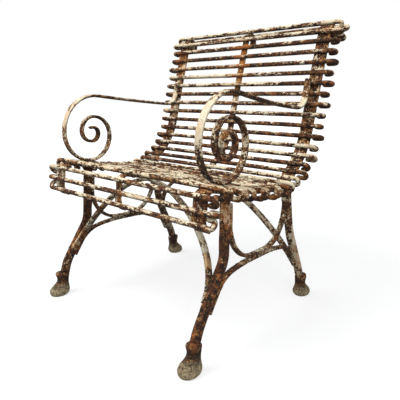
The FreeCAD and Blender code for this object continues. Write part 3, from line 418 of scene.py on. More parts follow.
PIECE_COATS = {
    "right_strap": -0.34, "centre_strap": -0.16, "left_strap": -0.25,
    "right_arm": -0.28, "left_arm": -0.16,
    "front_right_leg": -0.58, "front_left_leg": -0.42, "rear_right_leg": -0.08, "rear_left_leg": -0.2,
    "right_u_bar": -0.4, "left_u_bar": -0.26, "right_arch": -0.36, "left_arch": -0.32,
    "front_cross_bar": 0.16, "rear_cross_bar": -0.1,
    "rod_rivets": -0.25, "arm_rivets": -0.2, "leg_rivets": -0.1, "arch_rivets": 0.1,
    "cross_bar_foot_rivets": -0.15, "cross_bar_crown_rivets": -0.15, "hoof_pins": -0.25,
}
# Left half and right half of a rod, for each group and for the rods that differ from theirs
ROD_COATS_OF_GROUP = {
    "front_rod": (-0.02, -0.2), "seat_rod": (-0.3, -0.34),
    "back_rod": (-0.44, -0.42), "top_rod": (-0.1, -0.25),
}
ROD_COATS = {
    "front_rod_1": (0.0, -0.26), "front_rod_2": (-0.06, -0.24), "front_rod_3": (0.0, -0.22),
    "front_rod_4": (-0.04, -0.26), "seat_rod_2": (-0.16, -0.3), "seat_rod_6": (-0.36, -0.2),
    "back_rod_1": (-0.3, 0.05), "back_rod_2": (-0.34, -0.1), "back_rod_5": (-0.36, -0.12),
    "back_rod_6": (-0.36, 0.02), "back_rod_9": (-0.32, -0.2), "back_rod_12": (0.02, -0.42),
    "back_rod_13": (0.25, -0.44), "back_rod_14": (-0.24, -0.5), "back_rod_15": (-0.5, -0.5),
    "top_rod_1": (0.0, -0.2), "top_rod_2": (0.2, -0.1), "top_rod_3": (-0.3, -0.3),
    "top_rod_4": (0.05, -0.1),
}
# The halves of a rod blend over this width in its middle
HALVES_BLEND = 120 * MM
# x, y, z and radius of a spot in mm, then how much more of the coat has stayed there
KEPT_SPOTS = [
    # Right arm: its front bend, with chips in it, and the bend's lower end
    (258, -211, 600, 45, 0.22), (258, -239, 565, 50, 0.32), (258, -244, 529, 45, 0.26),
    (258, -236, 497, 34, 0.5), (267, -193, 586, 15, -0.6), (267, -219, 565, 14, -0.6),
    (267, -231, 535, 14, -0.5), (258, -239, 515, 16, -0.8), (258, -239, 461, 24, -0.2),
    # Right arm: where the sitter's arm lies, and the tab at the strap
    (258, -20, 604, 60, -0.2), (258, 184, 609, 34, 0.6),
    # Right arm: inner turn, outer turn and core of the scroll
    (258, -165, 515, 30, 0.2), (258, -174, 489, 20, 0.15), (258, -140, 549, 30, 0.3),
    (258, -79, 525, 26, 0.4), (258, -76, 494, 40, 0.2), (258, -137, 490, 30, -0.3),
    # Left arm: front bend, rest, tab and scroll
    (-258, -236, 521, 50, 0.3), (-258, -176, 584, 60, 0.2), (-258, -4, 600, 90, 0.15),
    (-258, 190, 609, 45, 0.6), (-258, -146, 474, 60, -0.2),
    # Back: right end of the top roll, head of the centre strap, and the rods beside the left strap
    (300, 270, 800, 60, 0.25), (0, 240, 735, 50, 0.3), (-230, 236, 700, 60, 0.4),
    # Right side: heads of the front leg and of the U bar, and the front foot of the arch
    (273, -182, 351, 34, 0.4), (270, -166, 340, 32, 0.4), (265, -147, 334, 60, 0.6),
    (265, -133, 274, 34, 0.35), (277, -180, 180, 26, 0.5),
    # Right side: lower half of the front leg, and the rear leg at the arch
    (280, -205, 165, 110, -0.3), (278, -248, 100, 60, -0.3),
    (280, 145, 221, 60, 0.2), (280, 198, 142, 50, 0.35),
    # Front cross bar, from its right foot to its left one, and the front left leg beside that
    (228, -193, 230, 50, 0.45), (213, -181, 253, 60, 0.1), (-160, -190, 290, 90, -0.3),
    (-235, -205, 220, 110, -0.4), (-262, -225, 165, 60, -0.1),
]
# The same for spots where rust has bled orange through the paint
BLED_SPOTS = [
    # Centre strap, left strap and the right end of the top roll
    (0, 243, 767, 60, 0.9), (0, 236, 698, 70, 1.0), (0, 214, 618, 50, 0.6),
    (-270, 240, 740, 90, 0.5), (300, 270, 800, 60, 0.5),
    # Right arm: front bend and scroll. Left arm: front bend and rest
    (258, -190, 588, 22, 0.8), (258, -234, 499, 28, 1.0), (258, -165, 515, 28, 0.8),
    (-258, -236, 521, 50, 0.4), (-258, -10, 603, 60, 0.4),
    # Front right leg from head to hoof, the front foot of the arch, and the rear right leg
    (273, -182, 351, 40, 0.9), (271, -154, 318, 55, 0.8), (274, -262, 95, 40, 0.25),
    (277, -180, 180, 26, 0.8), (280, 198, 142, 40, 0.5),
    # Front cross bar at its right and left foot
    (236, -193, 219, 26, 1.0), (-262, -225, 165, 60, 0.6),
]
# A spot counts in full up to 3/8 of its radius and fades from there
SPOT_FALL = 1.6
# The hooks of the rods, farther out than this, bleed too
HOOKS_START = 285 * MM
HOOKS_BLED = 0.35
# Even the best places have cracks and chips
FULLEST_COAT = 0.24


def in_spot(points, x, y, z, radius):
    """How far each point is inside a spot: 1 is in the middle of it, 0 outside."""
    gap = np.linalg.norm(points - np.array((x, y, z)) * MM, axis=1) / (radius * MM)
    return np.clip(SPOT_FALL - SPOT_FALL * gap, 0.0, 1.0)


def store(mesh, name, values):
    """Stores one number for each point of a mesh."""
    mesh.attributes.new(name, "FLOAT", "POINT").data.foreach_set("value", np.array(values, np.float32))


def lay_coat(mesh, left, right):
    """Stores the paint left on the left and right half of a piece, and the rust that has bled."""
    points = np.empty(3 * len(mesh.vertices), np.float32)
    mesh.vertices.foreach_get("co", points)
    points = points.reshape(-1, 3)
    coat = left + (right - left) * np.clip(points[:, 0] / HALVES_BLEND + 0.5, 0.0, 1.0)
    bled = np.where(np.abs(points[:, 0]) > HOOKS_START, HOOKS_BLED, 0.0)
    for *spot, amount in KEPT_SPOTS:
        coat = coat + amount * in_spot(points, *spot)
    for *spot, amount in BLED_SPOTS:
        bled = np.maximum(bled, amount * in_spot(points, *spot))
    store(mesh, "coat", np.minimum(coat, FULLEST_COAT))
    store(mesh, "bled", bled)


# Geometry trees

def new_tree(name, sockets):
    """A geometry tree with a geometry input, the named inputs and a geometry output."""
    tree = bpy.data.node_groups.new(name, "GeometryNodeTree")
    tree.interface.new_socket("Geometry", in_out="INPUT", socket_type="NodeSocketGeometry")
    for label, kind in sockets:
        tree.interface.new_socket(label, in_out="INPUT", socket_type=kind)
    tree.interface.new_socket("Geometry", in_out="OUTPUT", socket_type="NodeSocketGeometry")
    return tree, add(tree, "NodeGroupInput").outputs


def weather(tree, geometry, given):
    """Gives a mesh its crust, hammer dents and rust pits, along its normals, and ends the tree."""
    where = add(tree, "ShaderNodeVectorMath", {
        0: add(tree, "GeometryNodeInputPosition").outputs[0], 1: given["Drift"]}, operation="ADD").outputs[0]
    # A hammer leaves dents about 28 mm apart; rust pits are about 7 mm apart
    dents = add(tree, "ShaderNodeTexNoise", {"Vector": where, "Scale": every(28), "Detail": 1.0})
    pits = add(tree, "ShaderNodeTexNoise", {
        "Vector": where, "Scale": every(7), "Detail": 3.0, "Roughness": 0.6})
    dents = add(tree, "ShaderNodeMath", {0: dents.outputs["Fac"], 1: 0.5}, operation="SUBTRACT").outputs[0]
    pits = add(tree, "ShaderNodeMath", {0: pits.outputs["Fac"], 1: 0.5}, operation="SUBTRACT").outputs[0]
    dents = add(tree, "ShaderNodeMath", {0: dents, 1: given["Dent Depth"]}, operation="MULTIPLY").outputs[0]
    depth = add(tree, "ShaderNodeMath", {
        0: pits, 1: given["Pit Depth"], 2: dents}, operation="MULTIPLY_ADD").outputs[0]
    depth = add(tree, "ShaderNodeMath", {0: depth, 1: given["Crust"]}, operation="ADD").outputs[0]
    outward = add(tree, "GeometryNodeInputNormal").outputs[0]
    push = add(tree, "ShaderNodeVectorMath", {
        0: outward, "Scale": depth}, operation="SCALE").outputs["Vector"]
    worn = add(tree, "GeometryNodeSetPosition", {"Geometry": geometry, "Offset": push}).outputs[0]
    smooth = add(tree, "GeometryNodeSetShadeSmooth", {"Geometry": worn}).outputs[0]
    whole = add(tree, "GeometryNodeRealizeInstances", {"Geometry": smooth}).outputs[0]
    done = add(tree, "GeometryNodeSetMaterial", {"Geometry": whole, "Material": given["Material"]}).outputs[0]
    add(tree, "NodeGroupOutput", {"Geometry": done})


WEAR_SOCKETS = [
    ("Crust", "NodeSocketFloat"), ("Dent Depth", "NodeSocketFloat"), ("Pit Depth", "NodeSocketFloat"),
    ("Drift", "NodeSocketVector"), ("Material", "NodeSocketMaterial")]


def skin_tree():
    """Worn skin for a piece that already has its shape, made when the first piece needs it."""
    tree = bpy.data.node_groups.get("forged_skin")
    if not tree:
        tree, given = new_tree("forged_skin", WEAR_SOCKETS)
        weather(tree, given["Geometry"], given)
    return tree


def rod_tree():
    """Round rod along a line, swaying a little, with its ends beaten narrower."""
    tree, given = new_tree("forged_rod", [
        ("Radius", "NodeSocketFloat"), ("Sides", "NodeSocketInt"), ("Step", "NodeSocketFloat"),
        ("Sway", "NodeSocketFloat"), ("Tip Length", "NodeSocketFloat"), ("Tip Share", "NodeSocketFloat")]
        + WEAR_SOCKETS)
    line = add(tree, "GeometryNodeMeshToCurve", {"Mesh": given["Geometry"]}).outputs[0]
    line = add(tree, "GeometryNodeResampleCurve", {
        "Curve": line, "Length": given["Step"]}, mode="LENGTH").outputs[0]
    where = add(tree, "ShaderNodeVectorMath", {
        0: add(tree, "GeometryNodeInputPosition").outputs[0], 1: given["Drift"]}, operation="ADD").outputs[0]
    # A rod wanders to and fro about every 170 mm
    bends = add(tree, "ShaderNodeTexNoise", {"Vector": where, "Scale": every(170), "Detail": 1.0})
    bends = add(tree, "ShaderNodeVectorMath", {
        0: bends.outputs["Color"], 1: NOISE_MIDDLE}, operation="SUBTRACT").outputs[0]
    bends = add(tree, "ShaderNodeVectorMath", {
        0: bends, "Scale": given["Sway"]}, operation="SCALE").outputs["Vector"]
    line = add(tree, "GeometryNodeSetPosition", {"Geometry": line, "Offset": bends}).outputs[0]
    along = add(tree, "GeometryNodeSplineParameter").outputs["Length"]
    total = add(tree, "GeometryNodeSplineLength").outputs["Length"]
    rest = add(tree, "ShaderNodeMath", {0: total, 1: along}, operation="SUBTRACT").outputs[0]
    end = add(tree, "ShaderNodeMath", {0: along, 1: rest}, operation="MINIMUM").outputs[0]
    taper = add(tree, "ShaderNodeMapRange", {
        "Value": end, "From Max": given["Tip Length"], "To Min": given["Tip Share"]},
        interpolation_type="SMOOTHSTEP").outputs["Result"]
    ring = add(tree, "GeometryNodeCurvePrimitiveCircle", {
        "Resolution": given["Sides"], "Radius": given["Radius"]}).outputs["Curve"]
    tube = add(tree, "GeometryNodeCurveToMesh", {
        "Curve": line, "Profile Curve": ring, "Scale": taper, "Fill Caps": True}).outputs[0]
    weather(tree, tube, given)
    return tree


# A head is beaten between this much smaller and this much larger than its radius, in each direction
BEATEN_SMALL = (0.9, 0.9, 0.9)
BEATEN_LARGE = (1.06, 1.06, 1.06)


def rivet_tree():
    """Hot-driven rivets: a head and a smaller tail on a shank at each point, turned and beaten unevenly."""
    tree, given = new_tree("driven_rivets", [
        ("Head Radius", "NodeSocketFloat"), ("Tail Radius", "NodeSocketFloat"),
        ("Shank Radius", "NodeSocketFloat"), ("Dome", "NodeSocketFloat"), ("Seed", "NodeSocketInt")]
        + WEAR_SOCKETS)
    grip = add(tree, "GeometryNodeInputNamedAttribute", {
        "Name": "grip"}, data_type="FLOAT").outputs["Attribute"]
    axis = add(tree, "GeometryNodeInputNamedAttribute", {
        "Name": "axis"}, data_type="FLOAT_VECTOR").outputs["Attribute"]
    turn = add(tree, "FunctionNodeAlignRotationToVector", {"Vector": axis}, axis="Z").outputs[0]
    beaten = add(tree, "FunctionNodeRandomValue", {
        "Min": BEATEN_SMALL, "Max": BEATEN_LARGE, "Seed": given["Seed"]},
        data_type="FLOAT_VECTOR").outputs[0]
    half = add(tree, "ShaderNodeMath", {0: grip, 1: 0.5}, operation="MULTIPLY").outputs[0]
    parts = []
    for side, radius in ((1, "Head Radius"), (-1, "Tail Radius")):
        ball = add(tree, "GeometryNodeMeshUVSphere", {
            "Segments": 16, "Rings": 10, "Radius": given[radius]}).outputs["Mesh"]
        squash = add(tree, "ShaderNodeCombineXYZ", {0: 1.0, 1: 1.0, 2: given["Dome"]}).outputs[0]
        ball = add(tree, "GeometryNodeTransform", {"Geometry": ball, "Scale": squash}).outputs[0]
        away = add(tree, "ShaderNodeMath", {0: half, 1: float(side)}, operation="MULTIPLY").outputs[0]
        shift = add(tree, "ShaderNodeCombineXYZ", {2: away}).outputs[0]
        shift = add(tree, "ShaderNodeVectorRotate", {
            "Vector": shift, "Rotation": turn}, rotation_type="EULER_XYZ").outputs[0]
        place = add(tree, "GeometryNodeSetPosition", {
            "Geometry": given["Geometry"], "Offset": shift}).outputs[0]
        parts.append(add(tree, "GeometryNodeInstanceOnPoints", {
            "Points": place, "Instance": ball, "Rotation": turn, "Scale": beaten}).outputs[0])
    shank = add(tree, "GeometryNodeMeshCylinder", {
        "Vertices": 12, "Radius": given["Shank Radius"], "Depth": 1.0}).outputs["Mesh"]
    stretch = add(tree, "ShaderNodeCombineXYZ", {0: 1.0, 1: 1.0, 2: grip}).outputs[0]
    parts.append(add(tree, "GeometryNodeInstanceOnPoints", {
        "Points": given["Geometry"], "Instance": shank, "Rotation": turn, "Scale": stretch}).outputs[0])
    joined = add(tree, "GeometryNodeJoinGeometry")
    for part in parts:
        tree.links.new(part, joined.inputs[0])
    whole = add(tree, "GeometryNodeRealizeInstances", {"Geometry": joined.outputs[0]}).outputs[0]
    weather(tree, whole, given)
    return tree


def grown(name, mesh, tree, values, voxel=0.0):
    """The plain mesh that a tree grows from a mesh, remeshed first where a voxel size is given."""
    base = bpy.data.objects.new(name, mesh)
    bpy.context.scene.collection.objects.link(base)
    if voxel:
        remesh = base.modifiers.new("even", "REMESH")
        remesh.mode = "VOXEL"
        remesh.voxel_size = voxel
    modifier = base.modifiers.new("forge", "NODES")
    modifier.node_group = tree
    for item in tree.interface.items_tree:
        if item.in_out == "INPUT" and item.name in values:
            modifier[item.identifier] = values[item.name]
    bpy.context.view_layer.update()
    evaluated = base.evaluated_get(bpy.context.evaluated_depsgraph_get())
    result = bpy.data.meshes.new_from_object(evaluated)
    base.modifiers.clear()
    base.data = result
    if not result.polygons:
        raise RuntimeError(f"{name} came out empty")
    return base


# How many times the crust is on the legs, which were painted most often, and on what is cast or driven
CRUSTS = {"leg_paint": 1.8, "hoof_iron": 0.4, "rivet_iron": 0.5}
# Each piece takes its dents from a place in the pattern that is so far from the one before
DRIFT_STEP = (0.37, 0.61, 0.23)
# Corners of a solid's faces that are closer than this are one
MERGE_DISTANCE = 0.01 * MM


def wear(node, slot):
    """Inputs of the wear on one piece."""
    sizes = bpy.context.scene.chair_sizes
    number = sorted(NODES).index(node)
    return {
        "Crust": sizes.crust * CRUSTS.get(slot, 1.0), "Dent Depth": sizes.dent_depth,
        "Pit Depth": sizes.pit_depth, "Drift": [step * number for step in DRIFT_STEP],
        "Material": finish_of(slot)}


def stand_for(piece, node):
    """Puts a finished piece in its node's place."""
    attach(piece, "root")
    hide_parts(node)


def merged_shape(mesh):
    """Shape of a mesh with the seams between its faces closed."""
    shape = bmesh.new()
    shape.from_mesh(mesh)
    bmesh.ops.remove_doubles(shape, verts=shape.verts, dist=MERGE_DISTANCE)
    return shape


def worn_copy(name, node, slot, voxel):
    """A bar, scroll or casting: a merged copy of its solid with a worn skin."""
    mesh = NODES[node].data.copy()
    shape = merged_shape(mesh)
    shape.to_mesh(mesh)
    shape.free()
    mesh.materials.clear()
    return grown(name, mesh, skin_tree(), wear(node, slot), voxel)


# The line on which the rods lie, along a strap from its lower end, under the front of the seat, to its top
# roll. A step is a radius and a turn in degrees, positive to the left, or a length that doesn't turn.

ROD_OFFSET = 9.2 * MM
STRAP_START = (-246.2 * MM, 318.9 * MM)
STRAP_HEADING = 154.15
UNDER_ROLL = (31 * MM, -70.6)
APRON = (42 * MM, 0.0)
FRONT_ROLL = (17.5 * MM, -95.6)
SEAT = (243 * MM / math.radians(8), 8.0)
HOLLOW = (198 * MM, 81.0)
BACK = (282 * MM / math.radians(2.6), -2.6)
TOP_ROLL = (19.6 * MM, -210.6)
STRAP_STEPS = [UNDER_ROLL, APRON, FRONT_ROLL, SEAT, HOLLOW, BACK, TOP_ROLL]
# From the strap's start to the first rod, from the last rod of the apron to the first of the seat, and from
# that one to the seat's start; then how far rods stay from the start of the top roll and from the strap's end
FIRST_MARGIN = 34 * MM
APRON_GAP = 33 * MM
SEAT_MARGIN = 5 * MM
BACK_MARGIN = 33 * MM
TOP_MARGIN = 6.5 * MM
LAST_MARGIN = 7 * MM
# Rods on the apron, over the seat and back, and round the top roll; then how they are grouped by name
APRON_RODS = 3
SEAT_AND_BACK_RODS = 26
TOP_RODS = 4
ROD_GROUPS = [("front_rod", 4), ("seat_rod", 9), ("back_rod", 16), ("top_rod", 4)]
# Short, middle and long hook: how far out it starts to bend, and the length of its tail
HOOKS = [(304 * MM, 13 * MM), (308 * MM, 17 * MM), (312 * MM, 21 * MM)]
# Degrees by which the hooks of the apron's rods lean, so that they keep clear of each other
APRON_LEAN = (40, 0, -40)
STRAIGHT_POINTS = 12
BEND_POINTS = 13


def step_length(radius, turn):
    """Length of one step, measured where the rods lie."""
    if turn == 0:
        return radius
    return (radius - math.copysign(ROD_OFFSET, turn)) * math.radians(abs(turn))


def on_strap(distance):
    """Centre and outward direction of a rod, so far along the strap."""
    y, z = STRAP_START
    heading = math.radians(STRAP_HEADING)
    for radius, turn in STRAP_STEPS:
        whole = step_length(radius, turn)
        share = min(1.0, max(0.0, distance / whole))
        if turn == 0:
            y += math.cos(heading) * radius * share
            z += math.sin(heading) * radius * share
        else:
            signed = math.copysign(radius, turn)
            ahead = heading + math.radians(turn) * share
            y += (math.sin(ahead) - math.sin(heading)) * signed
            z -= (math.cos(ahead) - math.cos(heading)) * signed
            heading = ahead
        distance -= whole
        if distance <= 0:
            break
    out = Vector((0.0, -math.sin(heading), math.cos(heading)))
    return Vector((0.0, y, z)) + out * ROD_OFFSET, out


def rod_places():
    """Distances of the rods along the strap: up the apron, over the seat and back, and round the top roll."""
    lengths = [step_length(*step) for step in STRAP_STEPS]
    seat, head, end = sum(lengths[:3]) - SEAT_MARGIN, sum(lengths[:6]), sum(lengths)
    apron = np.linspace(FIRST_MARGIN, seat - APRON_GAP, APRON_RODS)
    middle = np.linspace(seat, head - BACK_MARGIN, SEAT_AND_BACK_RODS)
    top = np.linspace(head - TOP_MARGIN, end - LAST_MARGIN, TOP_RODS)
    return [*apron, *middle, *top]


def rod_line(number, name):
    """Points along the middle of one rod, from the tip of its left hook to the tip of its right one."""
    sizes = bpy.context.scene.chair_sizes
    centre, out = on_strap(rod_places()[number])
    if number < len(APRON_LEAN):
        out = Matrix.Rotation(math.radians(APRON_LEAN[number]), 3, "X") @ out
    bend = sizes.top_hook_radius if name.startswith("top") else sizes.hook_radius
    # Hand-made hooks differ: which of the three a rod has follows no order that the eye sees
    sides = [(-1, HOOKS[number ** 2 % 11 % 3]), (1, HOOKS[(number ** 2 + number) % 7 % 3])]
    halves = []
    for side, (reach, tail) in sides:
        points = [centre + Vector((side * x, 0, 0)) for x in np.linspace(0.0, reach, STRAIGHT_POINTS)[:-1]]
        for angle in np.linspace(0.0, math.pi, BEND_POINTS):
            across = side * (reach + math.sin(angle) * bend)
            points.append(centre + Vector((across, 0, 0)) - out * bend * (1 - math.cos(angle)))
        points.append(centre + Vector((side * (reach - tail), 0, 0)) - out * 2 * bend)
        halves.append(points)
    return halves[0][:0:-1] + halves[1]


class GARDEN_OT_rods(bpy.types.Operator):
    """Forge the 33 rods of the seat and back, with their ends hooked behind the straps"""

    bl_idname = "garden.rods"
    bl_label = "Forge Rods"

    def execute(self, context):
        sizes = context.scene.chair_sizes
        tree = rod_tree()
        rods = [(group, f"{group}_{number}") for group, count in ROD_GROUPS for number in range(1, count + 1)]
        for number, (group, name) in enumerate(rods):
            points = rod_line(number, name)
            mesh = bpy.data.meshes.new(name + "_line")
            mesh.from_pydata(points, [(n, n + 1) for n in range(len(points) - 1)], [])
            values = dict(wear(name, "rod_paint"), Radius=sizes.rod_radius, Sides=sizes.rod_sides, **{
                "Step": sizes.rod_step, "Sway": sizes.rod_sway,
                "Tip Length": sizes.tip_length, "Tip Share": sizes.tip_share})
            piece = grown("forged_" + name, mesh, tree, values)
            lay_coat(piece.data, *ROD_COATS.get(name, ROD_COATS_OF_GROUP[group]))
            stand_for(piece, name)
        return {"FINISHED"}


BARS = {
    "strap_paint": ["right_strap", "centre_strap", "left_strap"],
    "arm_paint": ["right_arm", "left_arm"],
    "leg_paint": ["front_right_leg", "front_left_leg", "rear_right_leg", "rear_left_leg"],
    "brace_paint": [
        "right_u_bar", "left_u_bar", "right_arch", "left_arch", "front_cross_bar", "rear_cross_bar"],
}


class GARDEN_OT_bars(bpy.types.Operator):
    """Give the straps, arms, legs, side bars and cross bars their hammered and rusted skin"""

    bl_idname = "garden.bars"
    bl_label = "Forge Bars"

    def execute(self, context):
        for slot, nodes in BARS.items():
            for node in nodes:
                piece = worn_copy("forged_" + node, node, slot, context.scene.chair_sizes.skin_voxel)
                lay_coat(piece.data, PIECE_COATS[node], PIECE_COATS[node])
                stand_for(piece, node)
        return {"FINISHED"}


class GARDEN_OT_hooves(bpy.types.Operator):
    """Cast the four hoof feet"""

    bl_idname = "garden.hooves"
    bl_label = "Cast Hooves"

    def execute(self, context):
        for end in ("front", "rear"):
            for side in ("right", "left"):
                node = f"{end}_{side}_hoof"
                piece = worn_copy("cast_" + node, node, "hoof_iron", context.scene.chair_sizes.cast_voxel)
                stand_for(piece, node)
        return {"FINISHED"}


# Rivet groups: radii of head, tail and shank in mm, and the height of a dome over its radius
RIVETS = {
    "rod_rivets": (5.0, 4.2, 2.5, 0.62),
    "arm_rivets": (5.4, 4.4, 2.6, 0.6),
    "leg_rivets": (5.6, 5.0, 3.0, 0.6),
    "arch_rivets": (5.4, 4.8, 3.0, 0.6),
    "cross_bar_foot_rivets": (5.4, 4.8, 3.0, 0.6),
    "cross_bar_crown_rivets": (5.0, 4.2, 2.5, 0.6),
    "hoof_pins": (3.0, 3.0, 3.0, 0.3),
}
# An end of a rivet is the outer points along its axis, this many in a hundred
END_SHARE = 20


def rivet_points(node, dome, head):
    """Middle, axis and grip of each rivet in a group, measured on the solids of the frame."""
    shape = merged_shape(NODES[node].data)
    waiting = set(shape.verts)
    found = []
    while waiting:
        first = min(waiting, key=lambda vert: vert.index)
        island, edge = {first}, [first]
        while edge:
            for link in edge.pop().link_edges:
                for vert in link.verts:
                    if vert not in island:
                        island.add(vert)
                        edge.append(vert)
        waiting -= island
        points = np.array([vert.co for vert in sorted(island, key=lambda vert: vert.index)])
        spread = points - points.mean(0)
        axis = np.linalg.eigh(spread.T @ spread)[1][:, 2]
        along = spread @ axis
        wide = np.linalg.norm(spread - np.outer(along, axis), axis=1)
        # The axis has to point to the head, which is the wider end
        top = wide[along >= np.percentile(along, 100 - END_SHARE)].max()
        bottom = wide[along <= np.percentile(along, END_SHARE)].max()
        if bottom > top:
            axis, along = -axis, -along
        middle = points.mean(0) + axis * (along.max() + along.min()) / 2
        found.append((middle, axis, (along.max() - along.min()) - 2 * dome * head * MM))
    shape.free()
    return found


class GARDEN_OT_rivets(bpy.types.Operator):
    """Drive the rivets of the rods, arms, legs and braces, and the pins of the feet"""

    bl_idname = "garden.rivets"
    bl_label = "Drive Rivets"

    def execute(self, context):
        tree = rivet_tree()
        for seed, (node, (head, tail, shank, dome)) in enumerate(RIVETS.items()):
            found = rivet_points(node, dome, (head + tail) / 2)
            mesh = bpy.data.meshes.new(node + "_points")
            mesh.from_pydata([middle for middle, axis, grip in found], [], [])
            mesh.attributes.new("axis", "FLOAT_VECTOR", "POINT").data.foreach_set(
                "vector", np.array([axis for middle, axis, grip in found], np.float32).ravel())
            store(mesh, "grip", [grip for middle, axis, grip in found])
            values = dict(wear(node, "rivet_iron"), Dome=dome, Seed=seed, **{
                "Head Radius": head * MM, "Tail Radius": tail * MM, "Shank Radius": shank * MM})
            piece = grown("driven_" + node, mesh, tree, values)
            lay_coat(piece.data, PIECE_COATS[node], PIECE_COATS[node])
            stand_for(piece, node)
        return {"FINISHED"}


# Stage

# The camera and its axes, as fitted to points of the photo
CAMERA_PLACE = (0.80495, -0.89071, 0.58667)
CAMERA_RIGHT = (0.75968, 0.65005, 0.01797)
CAMERA_UP = (-0.16111, 0.16137, 0.97365)
CAMERA_AHEAD = (-0.63002, 0.74256, -0.22732)
CAMERA_SHIFT = (-0.0006, -0.0034)
SENSOR_WIDTH = 36.0
# Width, place and target of each lamp
KEY_LAMP = (1.8, (-0.9, -1.6, 2.9), (0, 0, 0.45))
FILL_LAMP = (1.4, (1.9, -1.5, 1.5), (0, 0, 0.4))
SKY_COLOUR = (0.95, 0.98, 1.0, 1.0)
FLOOR_REACH = 30.0
# The paper's darkest and palest tone, and how much paler the camera sees it
PAPER_DARK = 0.38
PAPER_PALE = 0.42
PAPER_SEEN = 0.5
# Between these distances from the chair's middle, this share of plain white grows to all of it
WHITE_START = 0.6
WHITE_END = 2.4
WHITE_SHARE = 0.55
WHITE_STRENGTH = 1.28


def seen_white(tree, surface, share, strength):
    """Mixes plain white into what camera, glossy and transmission rays see. Share is a number or a socket."""
    path = add(tree, "ShaderNodeLightPath").outputs
    seen = add(tree, "ShaderNodeMath", {
        0: path["Is Camera Ray"], 1: path["Is Glossy Ray"]}, operation="MAXIMUM").outputs[0]
    seen = add(tree, "ShaderNodeMath", {
        0: seen, 1: path["Is Transmission Ray"]}, operation="MAXIMUM").outputs[0]
    amount = add(tree, "ShaderNodeMath", {0: seen, 1: share}, operation="MULTIPLY").outputs[0]
    white = add(tree, "ShaderNodeEmission", {"Color": (1, 1, 1, 1), "Strength": strength}).outputs[0]
    return add(tree, "ShaderNodeMixShader", {0: amount, 1: surface, 2: white}).outputs[0]


def soft_lamp(name, power, width, place, target):
    """Square lamp that points at a target."""
    data = bpy.data.lights.new(name, "AREA")
    data.energy = power
    data.size = width
    lamp = bpy.data.objects.new(name, data)
    lamp.location = place
    lamp.rotation_mode = "QUATERNION"
    lamp.rotation_quaternion = (Vector(target) - Vector(place)).to_track_quat("-Z", "Y")
    bpy.context.scene.collection.objects.link(lamp)


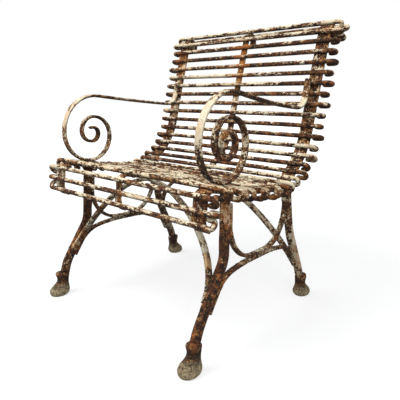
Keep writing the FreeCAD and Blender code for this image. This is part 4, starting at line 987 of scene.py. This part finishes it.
class GARDEN_OT_stage(bpy.types.Operator):
    """Lay the pale floor, hang the lamps and set up the camera"""

    bl_idname = "garden.stage"
    bl_label = "Set Stage"

    def execute(self, context):
        sizes = context.scene.chair_stage
        floor_mesh = bpy.data.meshes.new("studio_floor")
        corners = [(x * FLOOR_REACH, y * FLOOR_REACH, 0) for x, y in ((-1, -1), (1, -1), (1, 1), (-1, 1))]
        floor_mesh.from_pydata(corners, [], [(0, 1, 2, 3)])
        floor = bpy.data.objects.new("studio_floor", floor_mesh)
        context.scene.collection.objects.link(floor)
        paper, tree = blank(bpy.data.materials, "matt_paper")
        place = add(tree, "ShaderNodeTexCoord").outputs["Object"]
        cloud = add(tree, "ShaderNodeTexNoise", {
            "Vector": place, "Scale": every(2400), "Detail": 2.0}).outputs["Fac"]
        tone = add(tree, "ShaderNodeMapRange", {
            "Value": cloud, "To Min": PAPER_DARK, "To Max": PAPER_PALE}).outputs["Result"]
        # The paper throws only a little light up under the seat, yet it is pale where the camera sees it
        seen = add(tree, "ShaderNodeLightPath").outputs["Is Camera Ray"]
        tone = add(tree, "ShaderNodeMath", {
            0: seen, 1: PAPER_SEEN, 2: tone}, operation="MULTIPLY_ADD").outputs[0]
        matt = add(tree, "ShaderNodeBsdfDiffuse", {"Color": tone}).outputs[0]
        # It fades to plain white away from the chair, so that no edge of the floor shows
        away = add(tree, "ShaderNodeVectorMath", {0: place}, operation="LENGTH").outputs["Value"]
        share = add(tree, "ShaderNodeMapRange", {
            "Value": away, "From Min": WHITE_START, "From Max": WHITE_END, "To Min": WHITE_SHARE},
            interpolation_type="SMOOTHSTEP").outputs["Result"]
        add(tree, "ShaderNodeOutputMaterial", {"Surface": seen_white(tree, matt, share, WHITE_STRENGTH)})
        floor_mesh.materials.append(paper)

        context.scene.world, tree = blank(bpy.data.worlds, "soft_sky")
        sky = add(tree, "ShaderNodeBackground", {
            "Color": SKY_COLOUR, "Strength": sizes.sky_strength}).outputs[0]
        add(tree, "ShaderNodeOutputWorld", {"Surface": seen_white(tree, sky, 1.0, 1.0)})

        soft_lamp("key_lamp", sizes.key_power, *KEY_LAMP)
        soft_lamp("fill_lamp", sizes.fill_power, *FILL_LAMP)

        camera = bpy.data.objects.new("camera", bpy.data.cameras.new("camera"))
        context.scene.collection.objects.link(camera)
        context.scene.camera = camera
        camera.data.lens = sizes.lens
        camera.data.sensor_width = SENSOR_WIDTH
        camera.data.shift_x, camera.data.shift_y = CAMERA_SHIFT
        back = -Vector(CAMERA_AHEAD)
        axes = Matrix((CAMERA_RIGHT, CAMERA_UP, back)).transposed()
        camera.matrix_world = Matrix.Translation(CAMERA_PLACE) @ axes.to_4x4()
        context.scene.view_settings.view_transform = "Standard"
        return {"FINISHED"}


class GARDEN_PT_panel(bpy.types.Panel):
    """Sizes, colours and steps of the chair"""

    bl_idname = "GARDEN_PT_panel"
    bl_label = "Garden Armchair"
    bl_space_type = "VIEW_3D"
    bl_region_type = "UI"
    bl_category = "Garden Chair"

    def draw(self, context):
        layout = self.layout
        for group in (context.scene.chair_sizes, context.scene.chair_colours, context.scene.chair_stage):
            for name in group.__annotations__:
                layout.prop(group, name)
        for step in STEPS:
            layout.operator(step.bl_idname)


STEPS = [GARDEN_OT_rods, GARDEN_OT_bars, GARDEN_OT_hooves, GARDEN_OT_rivets, GARDEN_OT_stage]
CLASSES = [ForgeSizes, FinishColours, StageSizes] + STEPS + [GARDEN_PT_panel]


def register():
    for kind in CLASSES:
        bpy.utils.register_class(kind)
    bpy.types.Scene.chair_sizes = bpy.props.PointerProperty(type=ForgeSizes)
    bpy.types.Scene.chair_colours = bpy.props.PointerProperty(type=FinishColours)
    bpy.types.Scene.chair_stage = bpy.props.PointerProperty(type=StageSizes)


def unregister():
    del bpy.types.Scene.chair_sizes
    del bpy.types.Scene.chair_colours
    del bpy.types.Scene.chair_stage
    for kind in reversed(CLASSES):
        bpy.utils.unregister_class(kind)


def main():
    register()
    bpy.ops.garden.rods()
    bpy.ops.garden.bars()
    bpy.ops.garden.hooves()
    bpy.ops.garden.rivets()
    bpy.ops.garden.stage()


if __name__ == "__main__":
    main()
